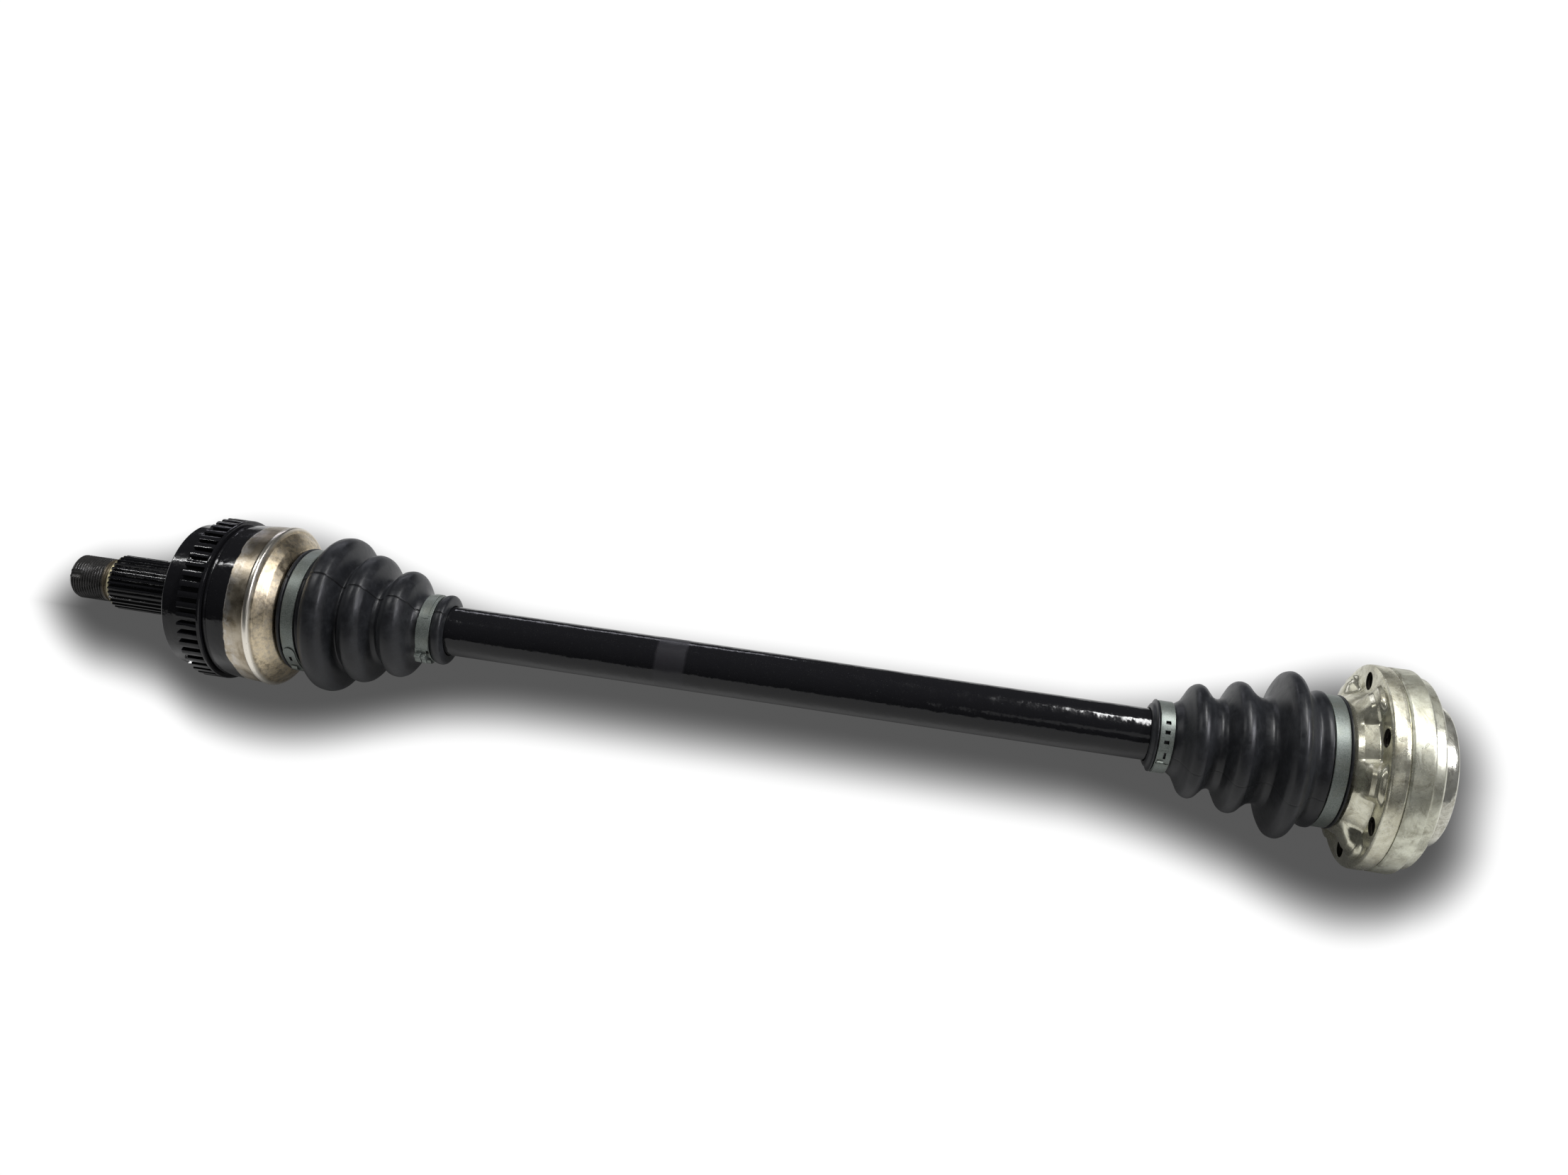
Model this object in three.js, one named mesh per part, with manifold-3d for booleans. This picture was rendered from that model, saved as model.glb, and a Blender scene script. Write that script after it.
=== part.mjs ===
// CV axle (halfshaft): wheel-end fixed ball joint with a splined stub, axle bar, plunging inner
// ball joint with a bolt-on flange, two ribbed boots and their band clamps. Millimetres.
// The axle lies along X: the wheel end is at -X, the gearbox end at +X, the origin is at
// mid-length on the centreline, +Z is up. "Outer" pieces are at the wheel end, "inner" ones at
// the gearbox end. Azimuths are in degrees round X: 0 is +Z and they grow towards -Y.
import * as THREE from 'three';
import { mergeVertices } from 'three/addons/utils/BufferGeometryUtils.js';
import Module from 'manifold-3d';

const wasm = await Module();
wasm.setup();

// ---------------------------------------------------------------- driving dimensions
const HALF_LENGTH = 363.9;      // half the overall length
const FACETS = 36;              // round the large turned pieces

// Both joints. Radii are from the centreline, except the shell and race radii, which are
// spheres about the joint centre; half lengths are along X.
const BALL_COUNT = 6;
const BALL_PITCH = 360 / BALL_COUNT;
const BALL_R = 8.7;
const TRACK_R = 9.9;            // ball groove radius, with running clearance
const OUTER = {
  name: 'outer',
  x: -248.0,
  pitchR: 28.5,
  cageInnerR: 25.1,
  cageOuterR: 30.1,
  cageHalf: 14.0,
  raceR: 24.4,
  raceHalf: 11.0,
};
const INNER = {
  name: 'inner',
  x: 340.0,                     // mid plunge
  pitchR: 27.5,
  cageInnerR: 24.5,
  cageOuterR: 29.4,
  cageHalf: 13.0,
  raceR: 23.8,
  raceHalf: 10.0,
};

// outer bell, its stub and the wheel-speed ring
const BELL_SPHERE_R = 30.9;
const BELL_TRACK_R = 10.05;
const BELL_SHOULDER_X = -291.0;
const BELL_MOUTH_X = -219.5;
const STUB_THREAD_R = 12.0;     // M24
const STUB_SPLINE_R = 15.1;
const TONE_TEETH = 48;
const TONE_TIP_R = 43.9;
const TONE_ROOT_R = 41.35;
const TONE_BORE_R = 39.3;

// inner joint ring and boot can
const BOLT_COUNT = 6;
const BOLT_CIRCLE_R = 86.0 / 2;
const BOLT_HOLE_R = 4.5;        // clearance for M8
const FLANGE_X = 327.5;         // bolt-head side of the can flange
const CAN_WALL = 1.1;
const SKIRT_R = 51.2;
const RING_X = [329.4, 353.6];
const RING_BORE_R = 30.0;
const FLANGE_DRILL_X = [325, 331];
const RING_DRILL_X = [325, 358];

// axle bar and the parts threaded on it
const BAR_X = [-263.0, 354.0];
const BAR_R = 13.3;
const BAR_SPLINE_R = 11.2;
const BAR_END_R = BAR_SPLINE_R - 0.6;
const BAR_NECK_R = 11.0;
const BAR_COLLAR_R = 13.0;
const BORE_R = 11.7;            // races, thrust ring and dished washers
const CLIP_GROOVE_R = 9.9;
const CLIP_GROOVES = { outer: [-261.3, -259.2], inner: [350.2, 352.3] };
const CLIP_SIDE_GAP = 0.3;
const BOOT_BORE_R = 13.75;      // small ends of both boots

// ---------------------------------------------------------------- solids
const WELD_DISTANCE = 1e-4;

const signedVolume = (positions, triangles) => {
  const corner = (index) => new THREE.Vector3().fromArray(positions, 3 * index);
  return triangles.reduce(
    (sum, [i, j, k]) => sum + corner(i).dot(corner(j).cross(corner(k))) / 6, 0);
};

// a closed three.js geometry as a solid, faces pointing out; uses up the geometry
const solid = (geometry) => {
  geometry.deleteAttribute('normal');
  geometry.deleteAttribute('uv');
  const welded = mergeVertices(geometry, WELD_DISTANCE);
  const positions = welded.attributes.position.array;
  const indices = welded.index.array;
  let triangles = [];
  for (let n = 0; n < indices.length; n += 3) {
    const [i, j, k] = indices.slice(n, n + 3);
    if (i !== j && j !== k && i !== k) triangles.push([i, j, k]);
  }
  if (signedVolume(positions, triangles) < 0) triangles = triangles.map(([i, j, k]) => [j, i, k]);
  return new wasm.Manifold(new wasm.Mesh({
    numProp: 3,
    vertProperties: new Float32Array(positions),
    triVerts: new Uint32Array(triangles.flat()),
  }));
};

const geometryOf = (shape) => {
  const mesh = shape.getMesh();
  const geometry = new THREE.BufferGeometry();
  const positions = new Float32Array(mesh.vertProperties);
  geometry.setAttribute('position', new THREE.BufferAttribute(positions, 3));
  geometry.setIndex(new THREE.BufferAttribute(new Uint32Array(mesh.triVerts), 1));
  geometry.computeVertexNormals();
  return geometry;
};

// ---------------------------------------------------------------- shape helpers
const radians = (degrees) => degrees * Math.PI / 180;
const turnTo = (geometry, azimuth) => geometry.rotateX(radians(azimuth));
const polarYZ = (r, azimuth) => [-r * Math.sin(radians(azimuth)), r * Math.cos(radians(azimuth))];
const polarPoint = (r, azimuth) => new THREE.Vector2(...polarYZ(r, azimuth));

// Profiles are [[x, r], ...], on the axis at both ends (turn) or closed into a ring (turnRing).
const lathe = (profile, facets) => {
  const points = profile.map(([x, r]) => new THREE.Vector2(r, x));
  return new THREE.LatheGeometry(points, facets).rotateZ(-Math.PI / 2);
};
const closed = (profile) => [...profile, profile[0]];
const turn = (profile, facets = FACETS) => solid(lathe(profile, facets));
const turnRing = (profile, facets) => turn(closed(profile), facets);
const band = (r0, r1, x0, x1, facets) =>
  turnRing([[x0, r0], [x0, r1], [x1, r1], [x1, r0]], facets);

// profile points on a circle centred on the axis; angles in degrees from +X
const arc = (centreX, radius, from, to, steps) => Array.from({ length: steps + 1 }, (_, k) => {
  const angle = radians(from + (to - from) * k / steps);
  return [centreX + radius * Math.cos(angle), radius * Math.sin(angle)];
});

// extrudes a shape drawn in (y, z) along X
const extrudeX = (shape, x0, x1) => {
  const geometry = new THREE.ExtrudeGeometry(shape, { depth: x1 - x0, bevelEnabled: false });
  geometry.applyMatrix4(new THREE.Matrix4().set(
    0, 0, 1, x0,
    1, 0, 0, 0,
    0, 1, 0, 0,
    0, 0, 0, 1,
  ));
  return solid(geometry);
};

// part of a ring between two azimuths
const sector = ([r0, r1], [from, to], [x0, x1], steps) => {
  const edge = (r) => Array.from({ length: steps + 1 },
    (_, k) => polarPoint(r, from + (to - from) * k / steps));
  const outline = [polarPoint(r0, from), ...edge(r1), ...edge(r0).reverse()];
  return extrudeX(new THREE.Shape(outline), x0, x1);
};

const rod = (r, [x0, x1], [y, z], facets) => {
  const geometry = new THREE.CylinderGeometry(r, r, x1 - x0, facets).rotateZ(-Math.PI / 2);
  return solid(geometry.translate((x0 + x1) / 2, y, z));
};

// Cuts a round groove for each ball, bent along the pitch circle about the joint centre.
const cutArcTracks = (body, joint, { radius, halfAngle, capSteps, facets, lengthSteps }) => {
  const pitchR = joint.pitchR;
  const half = pitchR * radians(halfAngle);
  let result = body;
  for (let n = 0; n < BALL_COUNT; n++) {
    const cutter = new THREE.CapsuleGeometry(radius, 2 * half, capSteps, facets, lengthSteps);
    const points = cutter.attributes.position;
    for (let k = 0; k < points.count; k++) {
      const x = points.getX(k);
      const y = points.getY(k);
      const along = Math.max(-half, Math.min(half, y));
      const beyond = y - along;                 // into the round end
      const angle = along / pitchR;
      points.setXYZ(k,
        joint.x + (pitchR + x) * Math.sin(angle) + beyond * Math.cos(angle),
        points.getZ(k),
        (pitchR + x) * Math.cos(angle) - beyond * Math.sin(angle));
    }
    result = result.subtract(solid(turnTo(cutter, n * BALL_PITCH)));
  }
  return result;
};

// bolt holes stand half a pitch from the balls
const drillBoltHoles = (body, spanX) => {
  let result = body;
  for (let k = 0; k < BOLT_COUNT; k++) {
    const centre = polarYZ(BOLT_CIRCLE_R, (k + 0.5) * 360 / BOLT_COUNT);
    result = result.subtract(rod(BOLT_HOLE_R, spanX, centre, 10));
  }
  return result;
};

// ---------------------------------------------------------------- materials
const material = (color, roughness, metalness) =>
  new THREE.MeshStandardMaterial({ color, roughness, metalness });
// colour, roughness, metalness
const PAINT = material(0x0b0b0c, 0.25, 0.0);
const PLATED = material(0xb9bdb0, 0.38, 1.0);
const ZINC = material(0x9aa39c, 0.5, 0.9);
const RUBBER = material(0x2f3134, 0.7, 0.0);
const GROUND = material(0xc4c4c2, 0.2, 1.0);
const CARD = material(0x4a443c, 0.9, 0.0);

const root = new THREE.Group();
const add = (name, shape, finish) => {
  const mesh = new THREE.Mesh(geometryOf(shape), finish);
  mesh.name = name;
  root.add(mesh);
  return mesh;
};

// ---------------------------------------------------------------- outer joint bell with stub
const outerBell = () => {
  const blank = turn([
    // threaded end and undercut
    [-HALF_LENGTH, 0], [-HALF_LENGTH, 10.4], [-362.3, STUB_THREAD_R], [-343.8, STUB_THREAD_R],
    [-342.8, 10.7], [-341.2, 10.7], [-340.7, 12.8],
    // splined length
    [-338.4, STUB_SPLINE_R], [-292.8, STUB_SPLINE_R], [BELL_SHOULDER_X, 17.6],
    // outside of the bell
    [BELL_SHOULDER_X, 37.8], [-290.1, 38.7], [-266.1, 38.7], [-266.1, 41.6], [-258.0, 42.3],
    [-250.0, 42.9], [-241.3, 43.5], [-239.0, 41.1], [-234.2, 36.8], [-231.2, 32.9],
    [-230.7, 30.2], [BELL_MOUTH_X, 30.2],
    // cavity
    [BELL_MOUTH_X, 28.9], [-220.9, 27.8], ...arc(OUTER.x, BELL_SPHERE_R, 64.1, 134, 5),
    [-271.0, 18.0], [-271.0, 0],
  ]);
  const bell = cutArcTracks(blank, OUTER,
    { radius: BELL_TRACK_R, halfAngle: 14.8, capSteps: 2, facets: 12, lengthSteps: 2 });
  // staking slot in one side of the thread end
  const slot = new THREE.BoxGeometry(9, 3.2, 3.4).translate(-359.9, 0, 11.9);
  return bell.subtract(solid(turnTo(slot, 46)));
};

// ---------------------------------------------------------------- wheel-speed ring
const toneRing = () => {
  // one tooth: [azimuth in tooth pitches, radius]
  const tooth = [[-0.27, TONE_ROOT_R], [-0.25, TONE_TIP_R], [0.25, TONE_TIP_R], [0.27, TONE_ROOT_R]];
  const outline = [];
  for (let k = 0; k < TONE_TEETH; k++) {
    for (const [offset, r] of tooth) outline.push(polarPoint(r, (k + offset) * 360 / TONE_TEETH));
  }
  const shape = new THREE.Shape(outline);
  const bore = Array.from({ length: 24 }, (_, k) => polarPoint(TONE_BORE_R, -k * 15));
  shape.holes.push(new THREE.Path(bore));
  const collar = turnRing([
    [-268.4, TONE_BORE_R], [-268.4, TONE_TIP_R], [-267.0, TONE_TIP_R],
    [-266.5, 43.1], [-266.5, TONE_BORE_R],
  ], 24);
  return extrudeX(shape, -279.5, -268.2).add(collar);
};

// ---------------------------------------------------------------- ball joint internals
// angle from +X at which a sphere reaches the given half length
const edgeAngle = (radius, half) => Math.acos(half / radius) * 180 / Math.PI;

// spherical shell with six windows, cut in opposite pairs
const cage = ({ x, cageInnerR, cageOuterR, cageHalf }) => {
  const outerEdge = edgeAngle(cageOuterR, cageHalf);
  const innerEdge = edgeAngle(cageInnerR, cageHalf);
  let shell = turnRing([
    ...arc(x, cageOuterR, outerEdge, 180 - outerEdge, 5),
    ...arc(x, cageInnerR, 180 - innerEdge, innerEdge, 5),
  ], 30);
  for (let k = 0; k < BALL_COUNT / 2; k++) {
    const windows = new THREE.BoxGeometry(2 * (BALL_R + 0.3), 19.6, 80).translate(x, 0, 0);
    shell = shell.subtract(solid(turnTo(windows, k * BALL_PITCH)));
  }
  return shell;
};

// sphere with flat ends, a bore and six grooves
const race = (joint) => {
  const { x, raceR, raceHalf } = joint;
  const edge = edgeAngle(raceR, raceHalf);
  const blank = turnRing([
    ...arc(x, raceR, edge, 180 - edge, 4), [x - raceHalf, BORE_R], [x + raceHalf, BORE_R],
  ], 24);
  return cutArcTracks(blank, joint,
    { radius: TRACK_R, halfAngle: 34, capSteps: 1, facets: 10, lengthSteps: 3 });
};

const addInternals = (joint) => {
  add(`${joint.name}_cage`, cage(joint), GROUND);
  add(`${joint.name}_race`, race(joint), GROUND);
  for (let k = 0; k < BALL_COUNT; k++) {
    const sphere = solid(new THREE.SphereGeometry(BALL_R, 12, 7));
    const ball = add(`${joint.name}_ball_${k + 1}`, sphere, GROUND);
    ball.position.set(joint.x, ...polarYZ(joint.pitchR, k * BALL_PITCH));
  }
};

// ---------------------------------------------------------------- axle bar and its fittings
// closed round groove in a splined end, as profile points
const clipGroove = ([x0, x1]) =>
  [[x0, BAR_SPLINE_R], [x0, CLIP_GROOVE_R], [x1, CLIP_GROOVE_R], [x1, BAR_SPLINE_R]];

const axleBar = () => turn([
  [BAR_X[0], 0], [BAR_X[0], BAR_END_R], ...clipGroove(CLIP_GROOVES.outer),
  [-231.1, BAR_SPLINE_R], [-231.1, BAR_COLLAR_R], [-228.2, BAR_COLLAR_R],
  [-226.0, BAR_NECK_R], [-206, BAR_NECK_R], [-198, BAR_R],
  [290, BAR_R], [298, BAR_NECK_R], [321, BAR_NECK_R],
  [323.2, BAR_COLLAR_R], [326.6, BAR_COLLAR_R], [326.6, BAR_SPLINE_R],
  ...clipGroove(CLIP_GROOVES.inner), [BAR_X[1], BAR_END_R], [BAR_X[1], 0],
], 20);

// open ring in one of the bar's end grooves
const circlip = ([x0, x1]) =>
  sector([10.3, 12.9], [20, 340], [x0 + CLIP_SIDE_GAP, x1 - CLIP_SIDE_GAP], 10);

// ---------------------------------------------------------------- boots: ribbed rubber sleeves
// [x, r] of the outside and of the inside, both towards +X
const sleeve = (outside, inside) => turnRing([...outside, ...inside.reverse()], 20);

const outerBoot = () => sleeve([
  [-229.9, 33.4], [-228.0, 33.4], [-227.8, 32.2], [-219.8, 32.2], [-217.9, 32.8], [-207.8, 42.2],
  [-198.5, 29.4], [-191.1, 34.9], [-180.6, 22.6], [-171.2, 29.0], [-161.0, 18.0], [-159.5, 17.0],
  [-151.7, 17.0], [-150.8, 18.4], [-148.0, 18.8], [-145.8, 17.0],
], [
  [-229.9, 30.6], [-217.4, 30.6], [-207.8, 39.4], [-198.5, 26.6], [-191.1, 32.1], [-180.6, 19.8],
  [-171.2, 26.2], [-162.0, 14.4], [-160.0, BOOT_BORE_R], [-145.8, BOOT_BORE_R],
]);

const innerBoot = () => sleeve([
  [224.8, 15.6], [226.9, 17.2], [227.3, 18.4], [228.0, 17.0], [235.9, 17.0], [238.2, 18.6],
  [247.9, 29.1], [257.6, 23.0], [268.0, 33.3], [280.9, 26.8], [291.7, 42.1], [301.7, 33.0],
  [305.4, 34.2], [307.1, 32.2], [315.2, 32.2], [315.4, 33.2], [316.6, 33.2],
], [
  [224.8, BOOT_BORE_R], [236.5, BOOT_BORE_R], [239.5, 15.6], [247.9, 26.3], [257.6, 20.2],
  [268.0, 30.5], [280.9, 24.0], [291.7, 39.3], [300.8, 30.7], [316.6, 30.7],
]);

// ---------------------------------------------------------------- band clamps
const LARGE_CLAMP = { bandR: [32.5, 33.3], lapR: [33.0, 34.0], facets: 30 };
const SMALL_CLAMP = { bandR: [17.3, 18.1], lapR: [17.8, 18.7], facets: 20 };
const LAP_INSET = 0.2;          // the lapped end is narrower than the band, each side
const EAR_BASE_R = 18.2;
const EAR_SINK = 0.3;

// band with a lapped end between two azimuths
const clamp = ({ bandR, lapR, facets }, [x0, x1], lapAzimuths, lapSteps) =>
  band(...bandR, x0, x1, facets)
    .add(sector(lapR, lapAzimuths, [x0 + LAP_INSET, x1 - LAP_INSET], lapSteps));

// block standing on a small clamp
const ear = (azimuth, [x0, x1], width, height) => {
  const block = new THREE.BoxGeometry(x1 - x0, width, height);
  block.translate((x0 + x1) / 2, 0, EAR_BASE_R + height / 2 - EAR_SINK);
  return solid(turnTo(block, azimuth));
};

// ---------------------------------------------------------------- boot can: pressed steel
// six lobes rise between the bolts; rows are [x, lift at the crest of a lobe]
const LOBE_LIFT = [[316.9, 0], [318.0, 0.2], [320.5, 2.2], [324.0, 6.0], [328.7, 7.0]];
const LOBE_START_X = 317;
const LOBE_MAX_R = 48;          // the flange rim and skirt outside this stay round
const LOBE_SHARPNESS = 0.6;     // exponent: below 1 broadens the crests

const lobeLift = (x) => {
  const end = LOBE_LIFT.findIndex(([stationX]) => x <= stationX);
  const [x0, lift0] = LOBE_LIFT[end - 1];
  const [x1, lift1] = LOBE_LIFT[end];
  return lift0 + (lift1 - lift0) * (x - x0) / (x1 - x0);
};

const bootCan = () => {
  const backX = FLANGE_X + CAN_WALL;
  const can = lathe(closed([
    // outside
    [303.5, 30.3], [316.8, 30.3], [318.0, 32.8], [320.5, 34.8], [324.0, 36.2],
    [FLANGE_X, 38.4], [FLANGE_X, 49.7], [328.4, SKIRT_R], [336.0, SKIRT_R],
    // inside
    [336.0, 50.2], [backX, 50.0], [backX, 37.4], [324.3, 35.0], [321.0, 33.6],
    [318.9, 31.6], [317.6, 29.2], [303.5, 29.2],
  ]), FACETS);
  const points = can.attributes.position;
  for (let k = 0; k < points.count; k++) {
    const x = points.getX(k);
    const y = points.getY(k);
    const z = points.getZ(k);
    const r = Math.hypot(y, z);
    if (r > LOBE_MAX_R || x < LOBE_START_X) continue;
    const crest = Math.max(0, Math.cos(BOLT_COUNT * Math.atan2(-y, z))) ** LOBE_SHARPNESS;
    const scale = (r + crest * lobeLift(x)) / r;
    points.setXYZ(k, x, y * scale, z * scale);
  }
  return drillBoltHoles(solid(can), FLANGE_DRILL_X);
};

// ---------------------------------------------------------------- inner joint ring
// bolted ring with a straight groove for each ball
const jointRing = () => {
  let ring = turnRing([
    [RING_X[0], RING_BORE_R], [RING_X[0], 49.2], [330.0, 49.7], [336.3, 49.7], [336.3, 51.0],
    [347.6, 51.0], [348.4, 48.4], [353.0, 46.4], [RING_X[1], 45.8], [RING_X[1], 37.6],
    [351.3, 37.6], [351.3, RING_BORE_R],
  ]);
  for (let k = 0; k < BALL_COUNT; k++) {
    const centre = polarYZ(INNER.pitchR, k * BALL_PITCH);
    ring = ring.subtract(rod(TRACK_R, [320, 352.2], centre, 14));
  }
  return drillBoltHoles(ring, RING_DRILL_X);
};

// dust cap over the gearbox end
const endCap = () => turn([
  [HALF_LENGTH, 0], [HALF_LENGTH, 33.2], [363.1, 34.9], [361.4, 36.0], [354.6, 37.2],
  [351.6, 37.2], [351.6, 36.1], [354.4, 36.0], [360.8, 34.9], [362.1, 34.1], [362.7, 32.8],
  [362.7, 0],
]);

// ---------------------------------------------------------------- assembly
add('outer_bell', outerBell(), PAINT);
add('tone_ring', toneRing(), PAINT);
addInternals(OUTER);
addInternals(INNER);
add('axle_bar', axleBar(), PAINT);
add('outer_circlip', circlip(CLIP_GROOVES.outer), GROUND);
add('inner_circlip', circlip(CLIP_GROOVES.inner), GROUND);

// thrust ring and dished washers that preload the races against the collars
add('outer_thrust_ring', band(BORE_R, 16.4, -236.7, -234.8, 20), GROUND);
add('outer_dished_washer', turnRing(
  [[-234.4, 17.2], [-233.2, 17.2], [-231.4, BORE_R], [-232.6, BORE_R]], 20), GROUND);
add('inner_dished_washer', turnRing(
  [[327.0, BORE_R], [328.2, BORE_R], [329.7, 17.0], [328.5, 17.0]], 20), GROUND);

add('outer_boot', outerBoot(), RUBBER);
add('inner_boot', innerBoot(), RUBBER);
add('outer_clamp_large', clamp(LARGE_CLAMP, [-227.4, -220.2], [91, 132], 5), ZINC);
add('outer_clamp_small', clamp(SMALL_CLAMP, [-159.2, -152.0], [37, 100], 5)
  .add(ear(107, [-159.4, -152.6], 10, 3.4)), ZINC);
add('inner_clamp_small', clamp(SMALL_CLAMP, [228.4, 235.6], [8, 71], 5)
  .add(ear(94, [228.9, 232.6], 2.2, 1.8)), ZINC);
add('inner_clamp_large', clamp(LARGE_CLAMP, [307.6, 314.9], [196, 222], 4), ZINC);

add('inner_boot_can', bootCan(), PLATED);
// card gasket between the can's flange and the joint ring
add('inner_can_gasket', drillBoltHoles(band(38.8, 48.6, 328.75, 329.2, 24), FLANGE_DRILL_X), CARD);
add('inner_joint_ring', jointRing(), PLATED);
add('inner_end_cap', endCap(), PLATED);

export default root;
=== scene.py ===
# A car's drive shaft lying along X, its axis on the origin, over a pale floor.
# The outer (wheel) end, with the threaded stub and the bell, is at -X. The inner joint, with its
# pressed can, bolt ring and end cap, is at +X. A painted bar and two ribbed boots lie between.
# Sizes are in mm and become metres when a mesh is made. Azimuths grow from +Z towards -Y.
import bpy
import math
import numpy as np
from collections import namedtuple
from mathutils import Matrix, Vector


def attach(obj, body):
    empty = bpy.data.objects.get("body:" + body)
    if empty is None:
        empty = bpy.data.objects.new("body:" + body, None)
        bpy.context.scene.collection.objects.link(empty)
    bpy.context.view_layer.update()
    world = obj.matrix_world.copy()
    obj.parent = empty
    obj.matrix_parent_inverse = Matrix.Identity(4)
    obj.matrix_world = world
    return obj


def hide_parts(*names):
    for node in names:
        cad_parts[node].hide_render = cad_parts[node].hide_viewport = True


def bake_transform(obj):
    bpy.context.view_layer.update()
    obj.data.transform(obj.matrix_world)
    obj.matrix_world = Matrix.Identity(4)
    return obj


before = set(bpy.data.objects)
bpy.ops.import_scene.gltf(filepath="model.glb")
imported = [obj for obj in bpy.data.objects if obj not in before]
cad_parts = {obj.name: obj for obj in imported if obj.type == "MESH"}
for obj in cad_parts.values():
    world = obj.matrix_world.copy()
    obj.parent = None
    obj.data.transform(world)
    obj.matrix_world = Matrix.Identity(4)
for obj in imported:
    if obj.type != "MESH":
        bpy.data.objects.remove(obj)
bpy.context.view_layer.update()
MM = 0.001
TAU = 2 * math.pi

# ------------------------------------------------------------------ shared dimensions (mm)
# centre station, radius of the ball circle, (inner, outer) radii and half length of the cage,
# radius and half length of the inner race
Joint = namedtuple("Joint", "x pitch cage_radii cage_half race_radius race_half")
OUTER = Joint(-248.0, 28.5, (25.1, 30.1), 14.0, 24.4, 11.0)
INNER = Joint(340.0, 27.5, (24.5, 29.4), 13.0, 23.8, 10.0)
HALF_LENGTH = 363.9
BALL_RADIUS, GROOVE_RADIUS = 8.7, 9.75
BOLT_RADIUS, BOLT_CIRCLE = 4.5, 86.0    # the circle is a diameter
BAR_RADIUS = 13.3


# ------------------------------------------------------------------ outlines and angles
def wrap(angle):
    """The same angle between minus and plus half a turn."""
    return (angle + math.pi) % TAU - math.pi


def around(count):
    return np.arange(count) * TAU / count


def polar(r, azimuth):
    """(y, z) at a radius and an azimuth in degrees."""
    t = math.radians(azimuth)
    return -r * math.sin(t), r * math.cos(t)


def arc(cx, radius, start, end, steps):
    """(x, r) points of a circle centred on the axis at cx, between angles in degrees from +X."""
    t = np.radians(np.linspace(start, end, steps + 1))
    return [(cx + radius * math.cos(q), radius * math.sin(q)) for q in t]


def fillet(points, segments=4):
    """Outline of (x, r) or (x, r, corner radius) points, with each stated corner rounded."""
    out = []
    for i, point in enumerate(points):
        corner = point[2] if len(point) > 2 else 0
        if corner <= 0 or i in (0, len(points) - 1):
            out.append(point[:2])
            continue
        before, here, after = (np.array(points[k][:2], float) for k in (i - 1, i, i + 1))
        u, v = before - here, after - here
        length_u, length_v = np.linalg.norm(u), np.linalg.norm(v)
        u, v = u / length_u, v / length_v
        angle = math.acos(max(-1, min(1, float(u @ v))))
        if angle > math.pi - 0.02:
            out.append(point[:2])
            continue
        tangent = min(corner / math.tan(angle / 2), 0.49 * length_u, 0.49 * length_v)
        radius = tangent * math.tan(angle / 2)
        centre = here + (u + v) / np.linalg.norm(u + v) * (radius / math.sin(angle / 2))
        start = math.atan2(*(here + u * tangent - centre)[::-1])
        end = math.atan2(*(here + v * tangent - centre)[::-1])
        for k in range(segments + 1):
            w = start + wrap(end - start) * k / segments
            out.append((centre[0] + radius * math.cos(w), centre[1] + radius * math.sin(w)))
    return out


def divide(profile, step, lo=-1e9, hi=1e9):
    """Adds points between stations lo and hi, so that no span there is longer than step."""
    out = [profile[0]]
    for a, b in zip(profile, profile[1:]):
        length = math.dist(a, b)
        if lo <= a[0] <= hi and lo <= b[0] <= hi and length > step:
            n = math.ceil(length / step)
            out += [(a[0] + (b[0] - a[0]) * i / n, a[1] + (b[1] - a[1]) * i / n)
                    for i in range(1, n)]
        out.append(b)
    return out


def smooth_curve(points, step):
    """Monotone cubic through (x, r) points with rising x, flat at each crest and valley."""
    x, y = np.array(points, float).T
    h = np.diff(x)
    secant = np.diff(y) / h
    slope = np.zeros(len(x))
    slope[0], slope[-1] = secant[0], secant[-1]
    for i in range(1, len(x) - 1):
        if secant[i - 1] * secant[i] > 0:
            w1, w2 = 2 * h[i] + h[i - 1], h[i] + 2 * h[i - 1]
            slope[i] = (w1 + w2) / (w1 / secant[i - 1] + w2 / secant[i])
    out = []
    for i in range(len(h)):
        n = max(1, int(math.ceil(math.hypot(h[i], y[i + 1] - y[i]) / step)))
        for j in range(n):
            t = j / n
            out.append((x[i] + t * h[i],
                        (1 + 2 * t) * (1 - t) ** 2 * y[i] + t * (1 - t) ** 2 * h[i] * slope[i]
                        + t * t * (3 - 2 * t) * y[i + 1] + t * t * (t - 1) * h[i] * slope[i + 1]))
    out.append((x[-1], y[-1]))
    return out


def smooth_outline(points):
    """Closed outline rounded by cutting its corners twice."""
    p = np.array(points, float)
    for _ in range(2):
        q = np.roll(p, -1, 0)
        p = np.stack([0.75 * p + 0.25 * q, 0.25 * p + 0.75 * q], 1).reshape(-1, 2)
    return p.tolist()


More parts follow.
